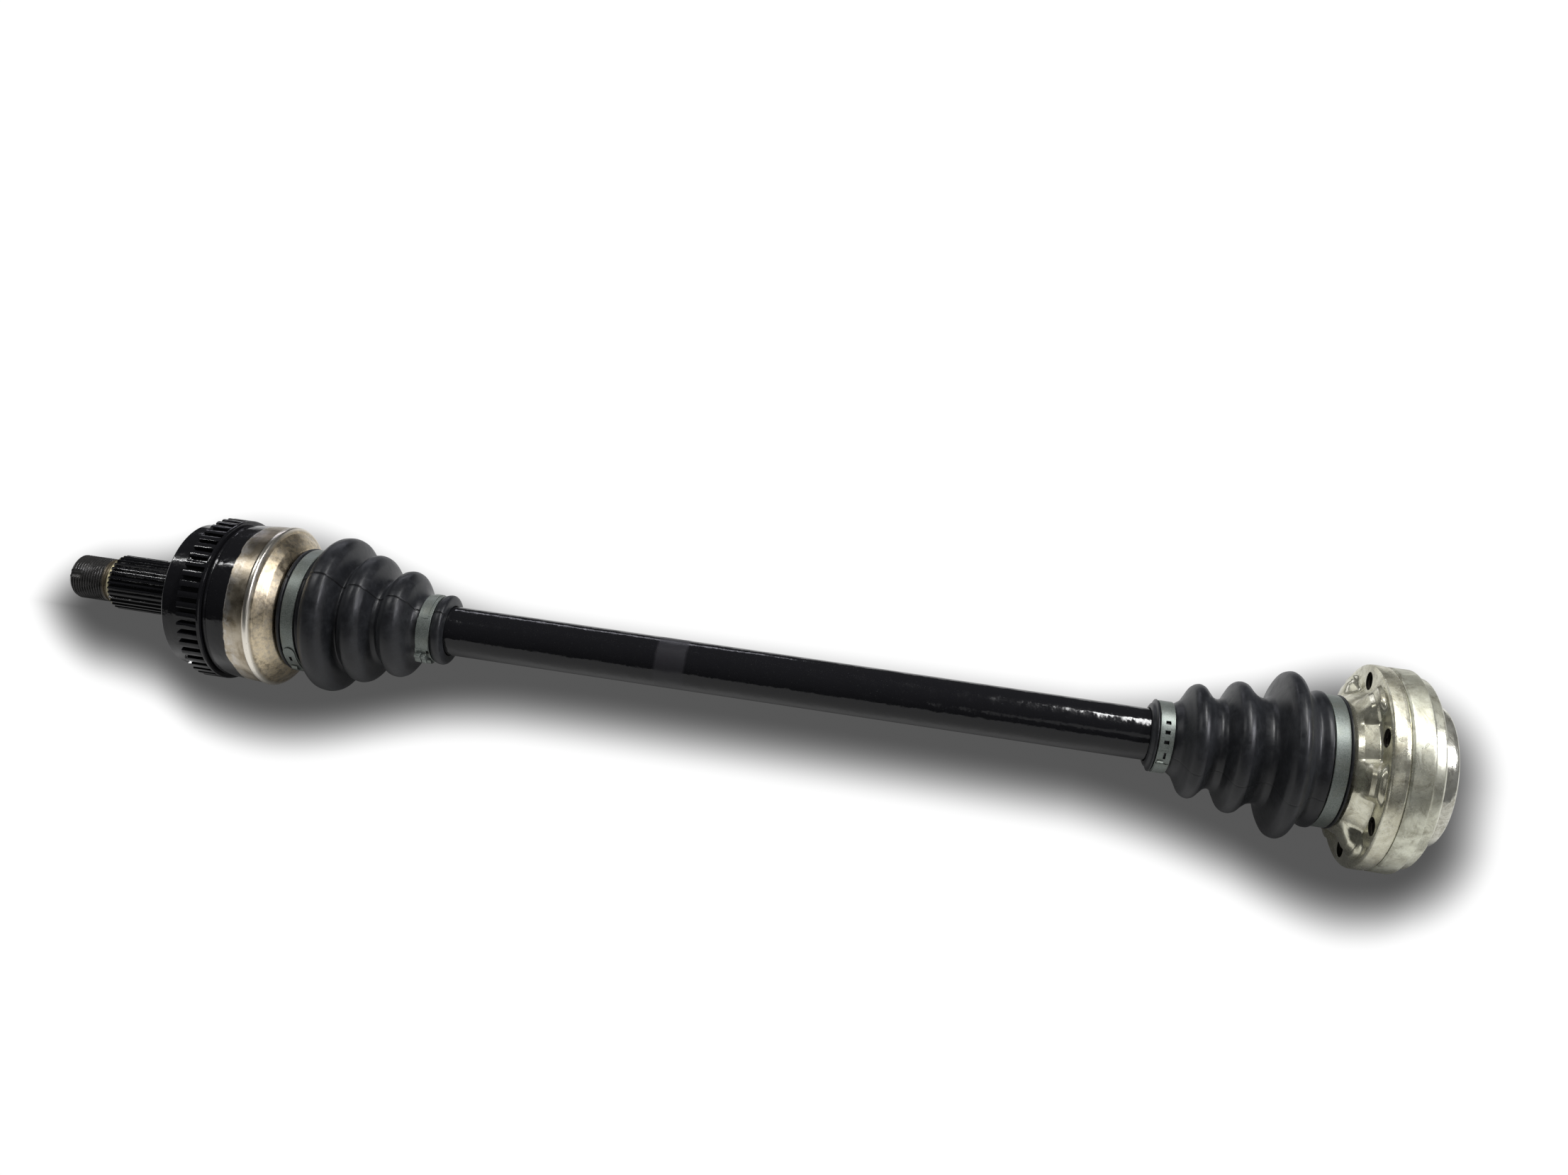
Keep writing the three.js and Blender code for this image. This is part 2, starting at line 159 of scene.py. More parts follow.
# ------------------------------------------------------------------ shells: (points in mm, faces)
def revolve(profile, phis, shape=None, loop=False):
    """Surface of revolution round X. shape(x, r, phi) may return a new (x, r), all arrays.
    The profile closes on itself (loop) or starts and ends on the axis."""
    profile = np.array(profile, float)
    rows, columns = len(profile), len(phis)
    x = np.repeat(profile[:, :1], columns, 1)
    r = np.repeat(profile[:, 1:], columns, 1)
    phi = np.repeat(np.array(phis, float)[None, :], rows, 0)
    if shape is not None:
        x, r = shape(x, r, phi)
    grid = np.stack([x, -r * np.sin(phi), r * np.cos(phi)], -1)
    on_axis = profile[:, 1] < 1e-9
    points, index, count = [], np.zeros((rows, columns), int), 0
    for i in range(rows):
        ring = np.array([[profile[i, 0], 0.0, 0.0]]) if on_axis[i] else grid[i]
        points.append(ring)
        index[i] = count + np.arange(len(ring))
        count += len(ring)
    faces = []
    for i in range(rows if loop else rows - 1):
        k = (i + 1) % rows
        a, b = index[i], index[k]
        a2, b2 = np.roll(a, -1), np.roll(b, -1)
        if on_axis[i]:
            corners = (a, b, b2)
        elif on_axis[k]:
            corners = (a, b, a2)
        else:
            corners = (a, b, b2, a2)
        faces += list(zip(*(q.tolist() for q in corners)))
    return np.concatenate(points), faces


def loft(sections):
    """Solid through closed sections that all have the same number of points."""
    n, last = len(sections[0]), len(sections) - 1
    faces = [(k * n + i, k * n + (i + 1) % n, (k + 1) * n + (i + 1) % n, (k + 1) * n + i)
             for k in range(last) for i in range(n)]
    faces += [tuple(reversed(range(n))), tuple(range(last * n, last * n + n))]
    return np.concatenate(sections), faces


def rod(x0, x1, y, z, r, segments=40):
    a = around(segments)
    ring = np.stack([np.zeros(segments), y + r * np.cos(a), z + r * np.sin(a)], 1)
    return loft([ring + [x0, 0, 0], ring + [x1, 0, 0]])


def outward(points, faces):
    """The faces, all turned over if the shell's volume comes out negative."""
    volume = 0.0
    for sides in sorted({len(q) for q in faces}):
        f = np.array([q for q in faces if len(q) == sides], int)
        for j in range(1, sides - 1):
            normal = np.cross(points[f[:, j]], points[f[:, j + 1]])
            volume += np.einsum("ij,ij->i", points[f[:, 0]], normal).sum()
    return faces if volume > 0 else [tuple(reversed(q)) for q in faces]


# ------------------------------------------------------------------ objects
def shade(mesh, angle):
    mesh.shade_smooth()
    mesh.set_sharp_from_angle(angle=math.radians(angle))


def mesh_object(name, shells, smooth_angle=32):
    """One object from closed shells."""
    all_points, all_faces, offset = [], [], 0
    for points, faces in shells:
        points = np.asarray(points, float)
        all_points.append(points)
        all_faces += [tuple(i + offset for i in q) for q in outward(points, faces)]
        offset += len(points)
    mesh = bpy.data.meshes.new(name)
    mesh.from_pydata((np.concatenate(all_points) * MM).tolist(), [], all_faces)
    mesh.validate()
    shade(mesh, smooth_angle)
    ob = bpy.data.objects.new(name, mesh)
    bpy.context.scene.collection.objects.link(ob)
    return ob


def cut(ob, cutters):
    """Takes the cutters (closed meshes) out of ob, and removes them."""
    for cutter in cutters:
        mod = ob.modifiers.new("cut", "BOOLEAN")
        mod.operation, mod.solver, mod.object = "DIFFERENCE", "EXACT", cutter
    depsgraph = bpy.context.evaluated_depsgraph_get()
    mesh = bpy.data.meshes.new_from_object(ob.evaluated_get(depsgraph))
    ob.modifiers.clear()
    ob.data = mesh
    for cutter in cutters:
        bpy.data.objects.remove(cutter)


def dress(ob, finish, node, body=None):
    """Gives ob the material of its finish, hides the CAD part of the node it stands for and puts
    ob on the body it rides.
    """
    material, slot = finish
    mesh = ob.data
    mesh.materials.clear()
    mesh.materials.append(material)
    # each point's place at rest, in mm, for the materials to read
    co = np.zeros(len(mesh.vertices) * 3, np.float32)
    mesh.vertices.foreach_get("co", co)
    mesh.attributes.new("rest", "FLOAT_VECTOR", "POINT").data.foreach_set("vector", co / MM)
    if body:
        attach(ob, body)
    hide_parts(node)
    return ob


def turned(name, profile, phis, finish, body, node, shape=None, loop=False, smooth_angle=32):
    ob = mesh_object(name, [revolve(profile, phis, shape, loop)], smooth_angle)
    return dress(ob, finish, node, body)


# ------------------------------------------------------------------ shader helpers
SOCKETS = {"base": "Base Color", "rough": "Roughness", "metal": "Metallic", "normal": "Normal",
           "coat": "Coat Weight", "coat_rough": "Coat Roughness", "spec": "Specular IOR Level",
           "sheen": "Sheen Weight", "sheen_rough": "Sheen Roughness", "sheen_tint": "Sheen Tint"}


class Shader:
    """Material with one Principled shader. Its patterns read the place at rest, in mm."""

    def __init__(self, name):
        self.material = bpy.data.materials.new(name)
        self.material.use_nodes = True
        self.tree = self.material.node_tree
        self.tree.nodes.clear()
        self.output = self.node("OutputMaterial")
        self.principled = self.node("BsdfPrincipled")
        self.put(self.output.inputs[0], self.principled.outputs[0])
        self.place = self.attribute("rest", "Vector")
        self.x, self.y, self.z = self.split(self.place)

    def node(self, kind):
        return self.tree.nodes.new("ShaderNode" + kind)

    def put(self, socket, value):
        """Links a socket, or sets a number or an (r, g, b) colour."""
        if isinstance(value, bpy.types.NodeSocket):
            self.tree.links.new(value, socket)
        else:
            socket.default_value = (*value, 1.0) if isinstance(value, tuple) else value

    def attribute(self, name, output):
        n = self.node("Attribute")
        n.attribute_name = name
        return n.outputs[output]

    def split(self, vector):
        n = self.node("SeparateXYZ")
        self.put(n.inputs[0], vector)
        return n.outputs

    def math(self, operation, a, b=0.0, c=None, clamp=False):
        n = self.node("Math")
        n.operation, n.use_clamp = operation, clamp
        self.put(n.inputs[0], a)
        self.put(n.inputs[1], b)
        if c is not None:
            self.put(n.inputs[2], c)
        return n.outputs[0]

    def plus(self, a, b):
        return self.math("ADD", a, b)

    def minus(self, a, b):
        return self.math("SUBTRACT", a, b)

    def times(self, a, b):
        return self.math("MULTIPLY", a, b)

    def times_plus(self, a, b, c):
        return self.math("MULTIPLY_ADD", a, b, c)

    def greater(self, a, b):
        return self.math("MAXIMUM", a, b)

    def hypot(self, a, b):
        return self.math("SQRT", self.plus(self.times(a, a), self.times(b, b)))

    def noise(self, scale=1.0, detail=3.0, rough=0.55, squeeze=None, distort=0.0):
        """Noise; squeeze is (along X, across X) and multiplies the place first."""
        vector = self.place
        if squeeze:
            multiply = self.node("VectorMath")
            multiply.operation = "MULTIPLY"
            self.put(multiply.inputs[0], vector)
            multiply.inputs[1].default_value = (squeeze[0], squeeze[1], squeeze[1])
            vector = multiply.outputs[0]
        n = self.node("TexNoise")
        self.put(n.inputs["Vector"], vector)
        n.inputs["Scale"].default_value = scale
        n.inputs["Detail"].default_value = detail
        n.inputs["Roughness"].default_value = rough
        n.inputs["Distortion"].default_value = distort
        return n.outputs[0]

    def cells(self, scale):
        """Distance to the nearest of many scattered points."""
        n = self.node("TexVoronoi")
        self.put(n.inputs["Vector"], self.place)
        n.inputs["Scale"].default_value = scale
        return n.outputs["Distance"]

    def fade(self, value, span, to=(0.0, 1.0), smooth=False):
        """Maps the span of a value to a range, held at both ends."""
        n = self.node("MapRange")
        n.clamp = True
        if smooth:
            n.interpolation_type = "SMOOTHSTEP"
        for socket, q in zip(n.inputs, (value, *span, *to)):
            self.put(socket, q)
        return n.outputs[0]

    def band(self, value, rise, fall):
        return self.times(self.fade(value, rise), self.fade(value, fall))

    def wobble(self, noise, amount):
        return self.times(self.minus(noise, 0.5), amount)

    def spots(self, scale, size, patch_scale, patch_span):
        """Small spots, only inside broad patches."""
        patches = self.fade(self.noise(scale=patch_scale, detail=2), patch_span)
        return self.times(self.fade(self.cells(scale), size), patches)

    def mix(self, factor, a, b):
        """Between two colours."""
        n = self.node("Mix")
        n.data_type = "RGBA"
        for k, q in ((0, factor), (6, a), (7, b)):
            self.put(n.inputs[k], q)
        return n.outputs[2]

    def over(self, under, mask, strength, colour):
        """Lays a colour over another through a mask."""
        return self.mix(self.times(mask, strength), under, colour)

    def blend(self, factor, a, b):
        """Between two numbers."""
        n = self.node("Mix")
        n.data_type = "FLOAT"
        for k, q in ((0, factor), (2, a), (3, b)):
            self.put(n.inputs[k], q)
        return n.outputs[0]

    def bump(self, height, strength, depth, under=None):
        """Bump with its depth in mm, on top of another normal if one is given."""
        n = self.node("Bump")
        n.inputs["Strength"].default_value = strength
        n.inputs["Distance"].default_value = depth * MM
        self.put(n.inputs["Height"], height)
        if under is not None:
            self.put(n.inputs["Normal"], under)
        return n.outputs[0]

    def set(self, **values):
        for key, value in values.items():
            self.put(self.principled.inputs[SOCKETS[key]], value)
        return self.material


# ------------------------------------------------------------------ materials
PAINT_SPEC, PAINT_COAT, PAINT_COAT_ROUGH = 0.30, 0.06, 0.04


def paint_parts(g):
    """Wet-looking gloss black: colour, roughness and normal sockets."""
    dust = g.fade(g.noise(scale=0.9, detail=5, rough=0.65), span=(0.60, 0.74))
    specks = g.spots(scale=0.55, size=(0.10, 0.045), patch_scale=0.11, patch_span=(0.50, 0.58))
    colour = g.mix(dust, (0.0065, 0.0065, 0.0075), (0.014, 0.0145, 0.016))
    colour = g.over(colour, specks, strength=0.12, colour=(0.30, 0.30, 0.29))
    rough = g.fade(g.noise(scale=0.16, detail=4, rough=0.6), span=(0.35, 0.75), to=(0.07, 0.20))
    rough = g.plus(rough, g.times(dust, 0.08))
    waves = g.bump(g.noise(scale=0.085, detail=3, rough=0.5), strength=0.5, depth=1.1)
    peel = g.noise(scale=0.9, detail=2, rough=0.5)
    return colour, rough, g.bump(peel, strength=0.16, depth=0.12, under=waves)


def paint(name, dull=None):
    """Gloss black; dull is (start, end) of a band in X without gloss, with a wavering edge."""
    g = Shader(name)
    colour, rough, normal = paint_parts(g)
    if dull:
        start, end = dull
        edge = 1.6
        x = g.plus(g.x, g.wobble(g.noise(scale=0.35, detail=3), amount=1.2))
        inside = g.band(x, rise=(start, start + edge), fall=(end, end - edge))
        colour = g.over(colour, inside, strength=0.9, colour=(0.018, 0.0175, 0.020))
        rough = g.blend(inside, rough, 0.33)
    return g.set(base=colour, rough=rough, metal=0.0, normal=normal, spec=PAINT_SPEC,
                 coat=PAINT_COAT, coat_rough=PAINT_COAT_ROUGH)


def bell_material():
    """Gloss black on the -X side; bare tarnished steel on the +X side of an uneven edge."""
    g = Shader("bell_paint_and_steel")
    paint_colour, paint_rough, paint_normal = paint_parts(g)
    # paint edge near x -253.6, with long runs and small bites
    runs = g.wobble(g.noise(scale=0.055, detail=3, rough=0.5, squeeze=(0.25, 1)), amount=4.5)
    bites = g.wobble(g.noise(scale=0.5, detail=4, rough=0.6), amount=1.1)
    bare = g.fade(g.plus(g.plus(g.x, runs), bites), span=(-253.9, -253.3))
    bare = g.greater(bare, 0.0)
    # steel: turning marks round the axle, tarnish clouds, brighter worn rim
    marks = g.noise(scale=1.0, detail=6, rough=0.7, squeeze=(3.2, 0.03))
    cloud = g.noise(scale=0.075, detail=5, rough=0.62, distort=0.6)
    streak = g.noise(scale=0.22, detail=4, rough=0.6, squeeze=(1, 0.25), distort=1.0)
    grain = g.noise(scale=0.9, detail=6, rough=0.75)
    steel = g.mix(g.fade(cloud, span=(0.38, 0.62)), (0.30, 0.25, 0.175), (0.54, 0.48, 0.38))
    gold = g.times(g.fade(g.x, span=(-240.0, -239.2)),
                   g.fade(g.noise(scale=0.35, detail=6, rough=0.75), span=(0.40, 0.58)))
    steel = g.over(steel, gold, strength=0.85, colour=(0.76, 0.64, 0.44))
    steel = g.over(steel, g.fade(streak, span=(0.54, 0.66)), strength=0.35,
                   colour=(0.185, 0.145, 0.10))
    steel = g.over(steel, g.fade(marks, span=(0.58, 0.72)), strength=0.45,
                   colour=(0.66, 0.62, 0.55))
    steel = g.over(steel, g.fade(grain, span=(0.60, 0.70)), strength=0.5,
                   colour=(0.16, 0.12, 0.08))
    near_edge = g.times(g.fade(g.x, span=(-247.0, -252.0)),
                        g.fade(g.noise(scale=0.16, detail=5, rough=0.7), span=(0.42, 0.60)))
    steel = g.over(steel, near_edge, strength=0.75, colour=(0.70, 0.69, 0.68))
    rim = g.band(g.x, rise=(-242.9, -242.2), fall=(-239.4, -240.1))
    steel = g.over(steel, rim, strength=0.9, colour=(0.95, 0.90, 0.80))
    pits = g.spots(scale=0.8, size=(0.16, 0.08), patch_scale=0.09, patch_span=(0.48, 0.56))
    steel = g.over(steel, pits, strength=0.7, colour=(0.10, 0.075, 0.05))
    steel_rough = g.fade(g.plus(cloud, g.times(grain, 0.4)), span=(0.55, 1.0), to=(0.27, 0.50))
    steel_rough = g.blend(rim, steel_rough, 0.30)
    # worn paint on the thread and its undercut, and bright ends on the stub's spline
    undercut = g.band(g.x, rise=(-344.6, -343.2), fall=(-339.4, -341.0))
    patchy = g.fade(g.noise(scale=0.35, detail=4), span=(0.30, 0.75), to=(0.25, 0.75))
    wear = g.greater(undercut, g.times(g.fade(g.x, span=(-343.6, -344.2)), patchy))
    tips = g.times(g.band(g.x, rise=(-338.3, -338.9), fall=(-340.9, -340.2)),
                   g.fade(g.noise(scale=0.30, detail=3), span=(0.38, 0.46)))
    worn_colour = g.mix(g.fade(g.x, span=(-345.0, -343.6)),
                        (0.085, 0.082, 0.078), (0.15, 0.125, 0.085))
    colour = g.mix(bare, paint_colour, steel)
    colour = g.over(colour, wear, strength=0.85, colour=worn_colour)
    colour = g.mix(tips, colour, (0.62, 0.56, 0.36))
    metal = g.greater(bare, g.times(wear, 0.7))
    rough = g.blend(bare, paint_rough, steel_rough)
    rough = g.blend(g.greater(wear, tips), rough, 0.42)
    steel_normal = g.bump(marks, strength=0.25, depth=0.08,
                          under=g.bump(cloud, strength=0.35, depth=0.5))
    normal = g.node("Mix")
    normal.data_type = "VECTOR"
    for k, q in ((0, bare), (4, paint_normal), (5, steel_normal)):
        g.put(normal.inputs[k], q)
    return g.set(base=colour, rough=rough, metal=metal, normal=normal.outputs[1],
                 spec=PAINT_SPEC, coat_rough=PAINT_COAT_ROUGH,
                 coat=g.times(g.minus(1.0, g.greater(metal, tips)), PAINT_COAT))


def plated(name, tint, dark, rough_range):
    """Old plate: pale, slightly green, with clouds, stains, fine pits and turning marks, and
    painted shade in the bolt holes.
    """
    g = Shader(name)
    cloud = g.noise(scale=0.060, detail=6, rough=0.62, distort=0.8)
    fine = g.noise(scale=0.9, detail=5, rough=0.7)
    marks = g.noise(scale=1.0, detail=5, rough=0.65, squeeze=(2.4, 0.05))
    colour = g.mix(g.fade(cloud, span=(0.40, 0.66)), tint, dark)
    colour = g.over(colour, g.fade(fine, span=(0.50, 0.72)), strength=0.35,
                    colour=(0.84, 0.85, 0.80))
    stain = g.fade(g.noise(scale=0.10, detail=6, rough=0.75, distort=1.0), span=(0.50, 0.66))
    colour = g.over(colour, stain, strength=0.70, colour=(0.235, 0.215, 0.155))
    haze_patch = g.noise(scale=0.045, detail=4, rough=0.6, distort=0.5)
    haze = g.times(g.fade(haze_patch, span=(0.47, 0.62)),
                   g.fade(g.noise(scale=1.3, detail=5, rough=0.8), span=(0.36, 0.62)))
    colour = g.over(colour, haze, strength=0.60, colour=(0.17, 0.165, 0.13))
    pits = g.spots(scale=0.75, size=(0.15, 0.07), patch_scale=0.10, patch_span=(0.54, 0.60))
    colour = g.mix(pits, colour, (0.11, 0.085, 0.05))
    # painted shade: the walls of the six bolt holes darkened to near black, found by the distance
    # from the nearest hole's axis
    azimuth = g.plus(g.math("ARCTAN2", g.y, g.z), TAU)
    turn = g.minus(g.math("MODULO", azimuth, TAU / 6), TAU / 12)
    outwards = g.minus(g.times(g.hypot(g.y, g.z), g.math("COSINE", turn)), BOLT_CIRCLE / 2)
    sideways = g.times(g.hypot(g.y, g.z), g.math("SINE", turn))
    hole_shade = g.fade(g.hypot(outwards, sideways), span=(BOLT_RADIUS + 0.2, BOLT_RADIUS))
    colour = g.over(colour, hole_shade, strength=0.93, colour=(0.020, 0.018, 0.015))
    rough = g.fade(g.plus(cloud, g.times(fine, 0.35)), span=(0.5, 0.95), to=rough_range)
    rough = g.blend(hole_shade, rough, 0.6)
    clouds = g.bump(cloud, strength=0.3, depth=0.7)
    grains = g.bump(fine, strength=0.20, depth=0.12, under=clouds)
    return g.set(base=colour, rough=rough, metal=0.86,
                 normal=g.bump(marks, strength=0.25, depth=0.07, under=grains))


def zinc():
    g = Shader("zinc_band_steel")
    fine = g.noise(scale=1.6, detail=5, rough=0.7)
    cloud = g.noise(scale=0.12, detail=4, rough=0.6)
    colour = g.mix(g.fade(fine, span=(0.35, 0.7)), (0.130, 0.150, 0.138), (0.275, 0.300, 0.278))
    colour = g.over(colour, g.fade(cloud, span=(0.5, 0.7)), strength=0.5,
                    colour=(0.17, 0.175, 0.145))
    colour = g.over(colour, g.fade(g.cells(scale=1.1), span=(0.14, 0.06)), strength=0.5,
                    colour=(0.07, 0.07, 0.06))
    return g.set(base=colour, rough=g.fade(fine, span=(0.3, 0.8), to=(0.36, 0.56)), metal=0.65,
                 normal=g.bump(fine, strength=0.18, depth=0.08))


def rubber():
    g = Shader("boot_rubber")
    cloud = g.noise(scale=0.055, detail=5, rough=0.6, distort=0.5)
    fine = g.noise(scale=2.6, detail=4, rough=0.6)
    dust = g.fade(g.noise(scale=0.25, detail=6, rough=0.7, distort=0.4), span=(0.46, 0.72))
    colour = g.mix(g.fade(cloud, span=(0.35, 0.7)),
                   (0.0060, 0.0064, 0.0076), (0.0125, 0.0132, 0.0152))
    colour = g.over(colour, dust, strength=0.36, colour=(0.031, 0.033, 0.037))
    # rubbed marks, lighter, in small groups
    rubbing = g.noise(scale=0.9, detail=5, rough=0.75, squeeze=(1, 0.6), distort=1.5)
    rubbed = g.times(g.fade(rubbing, span=(0.66, 0.72)),
                     g.fade(g.noise(scale=0.045, detail=2), span=(0.52, 0.60)))
    colour = g.over(colour, rubbed, strength=0.6, colour=(0.085, 0.088, 0.092))
    seam = g.math("MULTIPLY", g.attribute("seam", "Fac"), 0.93, clamp=True)
    colour = g.mix(seam, colour, (0.0004, 0.0004, 0.0005))
    rough = g.fade(g.plus(cloud, g.times(dust, 0.4)), span=(0.4, 1.0), to=(0.34, 0.50))
    normal = g.bump(fine, strength=0.10, depth=0.06,
                    under=g.bump(cloud, strength=0.35, depth=0.8))
    return g.set(base=colour, rough=rough, metal=0.0, normal=normal, spec=0.40,
                 sheen=0.03, sheen_rough=0.5, sheen_tint=(0.8, 0.85, 0.9))


def ground(name, light, dark, rough_range):
    """Steel with fine grinding lines round the axle."""
    g = Shader(name)
    lines = g.noise(scale=1.0, detail=5, rough=0.7, squeeze=(4.0, 0.1))
    cloud = g.noise(scale=0.1, detail=4, rough=0.6)
    return g.set(base=g.mix(g.fade(cloud, span=(0.4, 0.7)), light, dark), metal=1.0,
                 rough=g.fade(g.plus(cloud, lines), span=(0.6, 1.4), to=rough_range),
                 normal=g.bump(lines, strength=0.12, depth=0.05))


def card():
    g = Shader("gasket_card")
    fibre = g.noise(scale=1.8, detail=5, rough=0.7)
    colour = g.mix(g.fade(fibre, span=(0.3, 0.7)), (0.05, 0.045, 0.035), (0.11, 0.095, 0.07))
    return g.set(base=colour, rough=0.85, normal=g.bump(fibre, strength=0.4, depth=0.1))


# finishes: (material, slot)
BELL = (bell_material(), "black_paint")
PAINT = (paint("gloss_black_paint"), "black_paint")
BAR = (paint("gloss_black_bar", dull=(-31.2, -13.6)), "black_paint")
CAN = (plated("plated_can", tint=(0.76, 0.745, 0.60), dark=(0.48, 0.455, 0.34),
              rough_range=(0.18, 0.38)), "plated_steel")
RING = (plated("plated_ring", tint=(0.76, 0.765, 0.63), dark=(0.42, 0.415, 0.325),
               rough_range=(0.25, 0.45)), "plated_steel")
CAP = (plated("plated_cap", tint=(0.82, 0.815, 0.73), dark=(0.60, 0.59, 0.50),
              rough_range=(0.10, 0.24)), "plated_steel")
ZINC = (zinc(), "zinc_band")
RUBBER = (rubber(), "boot_rubber")
GROUND = (ground("ground_steel", light=(0.62, 0.62, 0.61), dark=(0.40, 0.39, 0.37),
                 rough_range=(0.16, 0.34)), "ground_steel")
SPRING = (ground("spring_steel", light=(0.25, 0.24, 0.23), dark=(0.13, 0.12, 0.11),
                 rough_range=(0.25, 0.45)), "spring_steel")
CARD = (card(), "gasket_card")


# ------------------------------------------------------------------ grooves and spline teeth
def from_ball(phi):
    """Angle from the nearest of the six balls."""
    return (phi + math.pi / 6) % (math.pi / 3) - math.pi / 6


def groove(x, r, phi, centres, side):
    """Radius cut by ball grooves along (x, r) centres: side 1 cuts outwards, -1 inwards."""
    angle = from_ball(phi)
    for cx, cr in centres:
        s = GROOVE_RADIUS ** 2 - (x - cx) ** 2 - (cr * np.sin(angle)) ** 2
        wall = cr * np.cos(angle) + side * np.sqrt(np.maximum(s, 0))
        r = np.where(s > 0, side * np.maximum(side * r, side * wall), r)
    return r


def spline_tooth(phi, teeth, steepness):
    """Rounded trapezoid wave: 1 on a tooth, 0 in a gap."""
    u = (phi * teeth / TAU) % 1.0
    return np.clip(0.5 + steepness * (np.abs(2 * u - 1) - 0.5), 0, 1)


# ------------------------------------------------------------------ outer bell
# thread, spline, shoulder, body and cavity
THREAD_PITCH, THREAD_DEPTH, THREAD_RADIUS = 1.5, 0.92, 12.0
STUB_TEETH, STUB_TOOTH_DEPTH, STUB_ROOT = 32, 1.35, 13.75
NOTCH_AZIMUTH = 46
# (x, r, corner radius)
BELL_OUTER = [
    (-HALF_LENGTH, 0), (-HALF_LENGTH, 10.4, 0.3), (-362.3, 12.0, 0.2), (-343.9, 12.0, 0.3),
    (-343.0, 10.75, 0.4), (-341.3, 10.75, 0.4), (-340.8, 12.6, 0.3), (-338.2, 15.1, 0.3),
    (-293.2, 15.1, 0.5), (-291.0, 17.6, 1.2), (-291.0, 38.2, 0.5), (-290.4, 38.7, 0.4),
    (-266.1, 38.7), (-266.1, 41.6, 0.4), (-265.0, 41.75, 0.2), (-264.6, 41.45, 0.15),
    (-264.1, 41.45, 0.15), (-263.7, 41.85, 0.2), (-258.0, 42.3, 3), (-250.0, 42.9, 3),
    (-243.2, 43.25, 1.0), (-242.2, 43.75, 0.8), (-240.4, 43.7, 1.5), (-239.0, 40.8, 1.4),
    (-234.3, 36.9, 3.0), (-231.5, 33.2, 0.8), (-231.1, 32.3, 0.6), (-230.8, 30.2, 0.5),
    (-219.5, 30.2, 0.4), (-219.5, 28.9, 0.2), (-220.9, 27.8, 0.3)]
BELL_FLOOR = [(-271.0, 18.0), (-271.0, 12.0), (-271.0, 0)]
BELL_GROOVES = arc(OUTER.x, OUTER.pitch, 90 + 14.6, 90 - 14.6, 24)


def bell_profile():
    outer = divide(fillet(BELL_OUTER), 0.19, -362.4, -342.9)
    outer = divide(outer, 0.6, -342.5, -336.0)
    outer = divide(outer, 4.0, -339.0, -290.0)
    cavity = arc(OUTER.x, 30.9, 64.1, 134, 40) + BELL_FLOOR
    return outer + [(-228.0, 27.8)] + divide(cavity, 0.9)


def bell_shape(x, r, phi):
    # thread, fading in at the tip and out before the undercut
    ridge = np.abs(2 * ((x / THREAD_PITCH + phi / TAU) % 1.0) - 1)
    depth = (THREAD_DEPTH * np.clip((x + 363.2) / 1.0, 0, 1)
             * np.clip((-343.6 - x) / 1.4, 0, 1))
    new = np.where((x < -343.2) & (r > 11.2), r - depth * np.clip(1.25 * ridge - 0.12, 0, 1), r)
    # notch across the thread end, ramping out
    turn = phi - math.radians(NOTCH_AZIMUTH)
    across = np.abs(THREAD_RADIUS * np.sin(turn))
    floor = (10.0 + 2.2 * np.clip((x + 358.2) / 3.4, 0, 1) ** 1.5
             + 0.55 * np.clip(across - 0.7, 0, 3))
    notch = (np.cos(turn) > 0) & (x < -354.6) & (across < 2.3) & (r > 8)
    new = np.where(notch, np.minimum(new, floor), new)
    # stub spline, running out before the shoulder
    gap = STUB_TOOTH_DEPTH * (1 - spline_tooth(phi, STUB_TEETH, 1.9))
    cut_r = np.where(r > STUB_ROOT, np.maximum(STUB_ROOT, r - gap), r)
    run_out = np.clip((-293.4 - x) / 1.2, 0, 1)
    stub = (x > -341.0) & (x < -291.4) & (r > 12.0) & (r < 15.3)
    new = np.where(stub, r + (cut_r - r) * run_out, new)
    # ball grooves in the cavity
    cavity = (x > -270.9) & (x < -228.4) & (r > 17.9) & (r < 31.0)
    cavity &= ~((r > 30.0) & (x > -231.2))
    return x, np.where(cavity, groove(x, r, phi, BELL_GROOVES, side=1), new)


turned("outer_bell_forging", bell_profile(), around(256), BELL, "outer_housing", "outer_bell",
       bell_shape, smooth_angle=38)

# ------------------------------------------------------------------ wheel-speed ring
# square teeth and a plain collar
TONE_TEETH, TONE_ROOT, TONE_HALF_TOOTH = 48, 41.35, 0.285
# columns of points round each tooth, in shares of the tooth pitch
TONE_STEPS = (-0.285, -0.262, -0.245, -0.08, 0.08, 0.245, 0.262, 0.285, 0.5)
# (x, r)
TONE_PROFILE = [
    (-279.5, 39.1), (-279.5, 41.3), (-279.5, 43.45), (-279.2, 43.9), (-275.0, 43.9),
    (-271.2, 43.9), (-268.6, 43.9), (-268.2, 43.75), (-268.2, 43.6), (-268.0, 43.8),
    (-267.5, 43.9), (-267.0, 43.75), (-266.6, 43.2), (-266.5, 42.7), (-266.5, 39.1)]


def tone_shape(x, r, phi):
    u = (phi * TONE_TEETH / TAU + 0.5) % 1.0 - 0.5
    tooth = np.clip((TONE_HALF_TOOTH - np.abs(u)) / 0.023, 0, 1)
    rounding = 0.18 * np.clip((np.abs(u) - 0.10) / 0.16, 0, 1) ** 2
    toothed = ((x < -268.19) & (r > 43.65)) | ((x < -279.0) & (r > 41.4))
    return x, np.where(toothed, TONE_ROOT + (r - rounding - TONE_ROOT) * tooth, r)


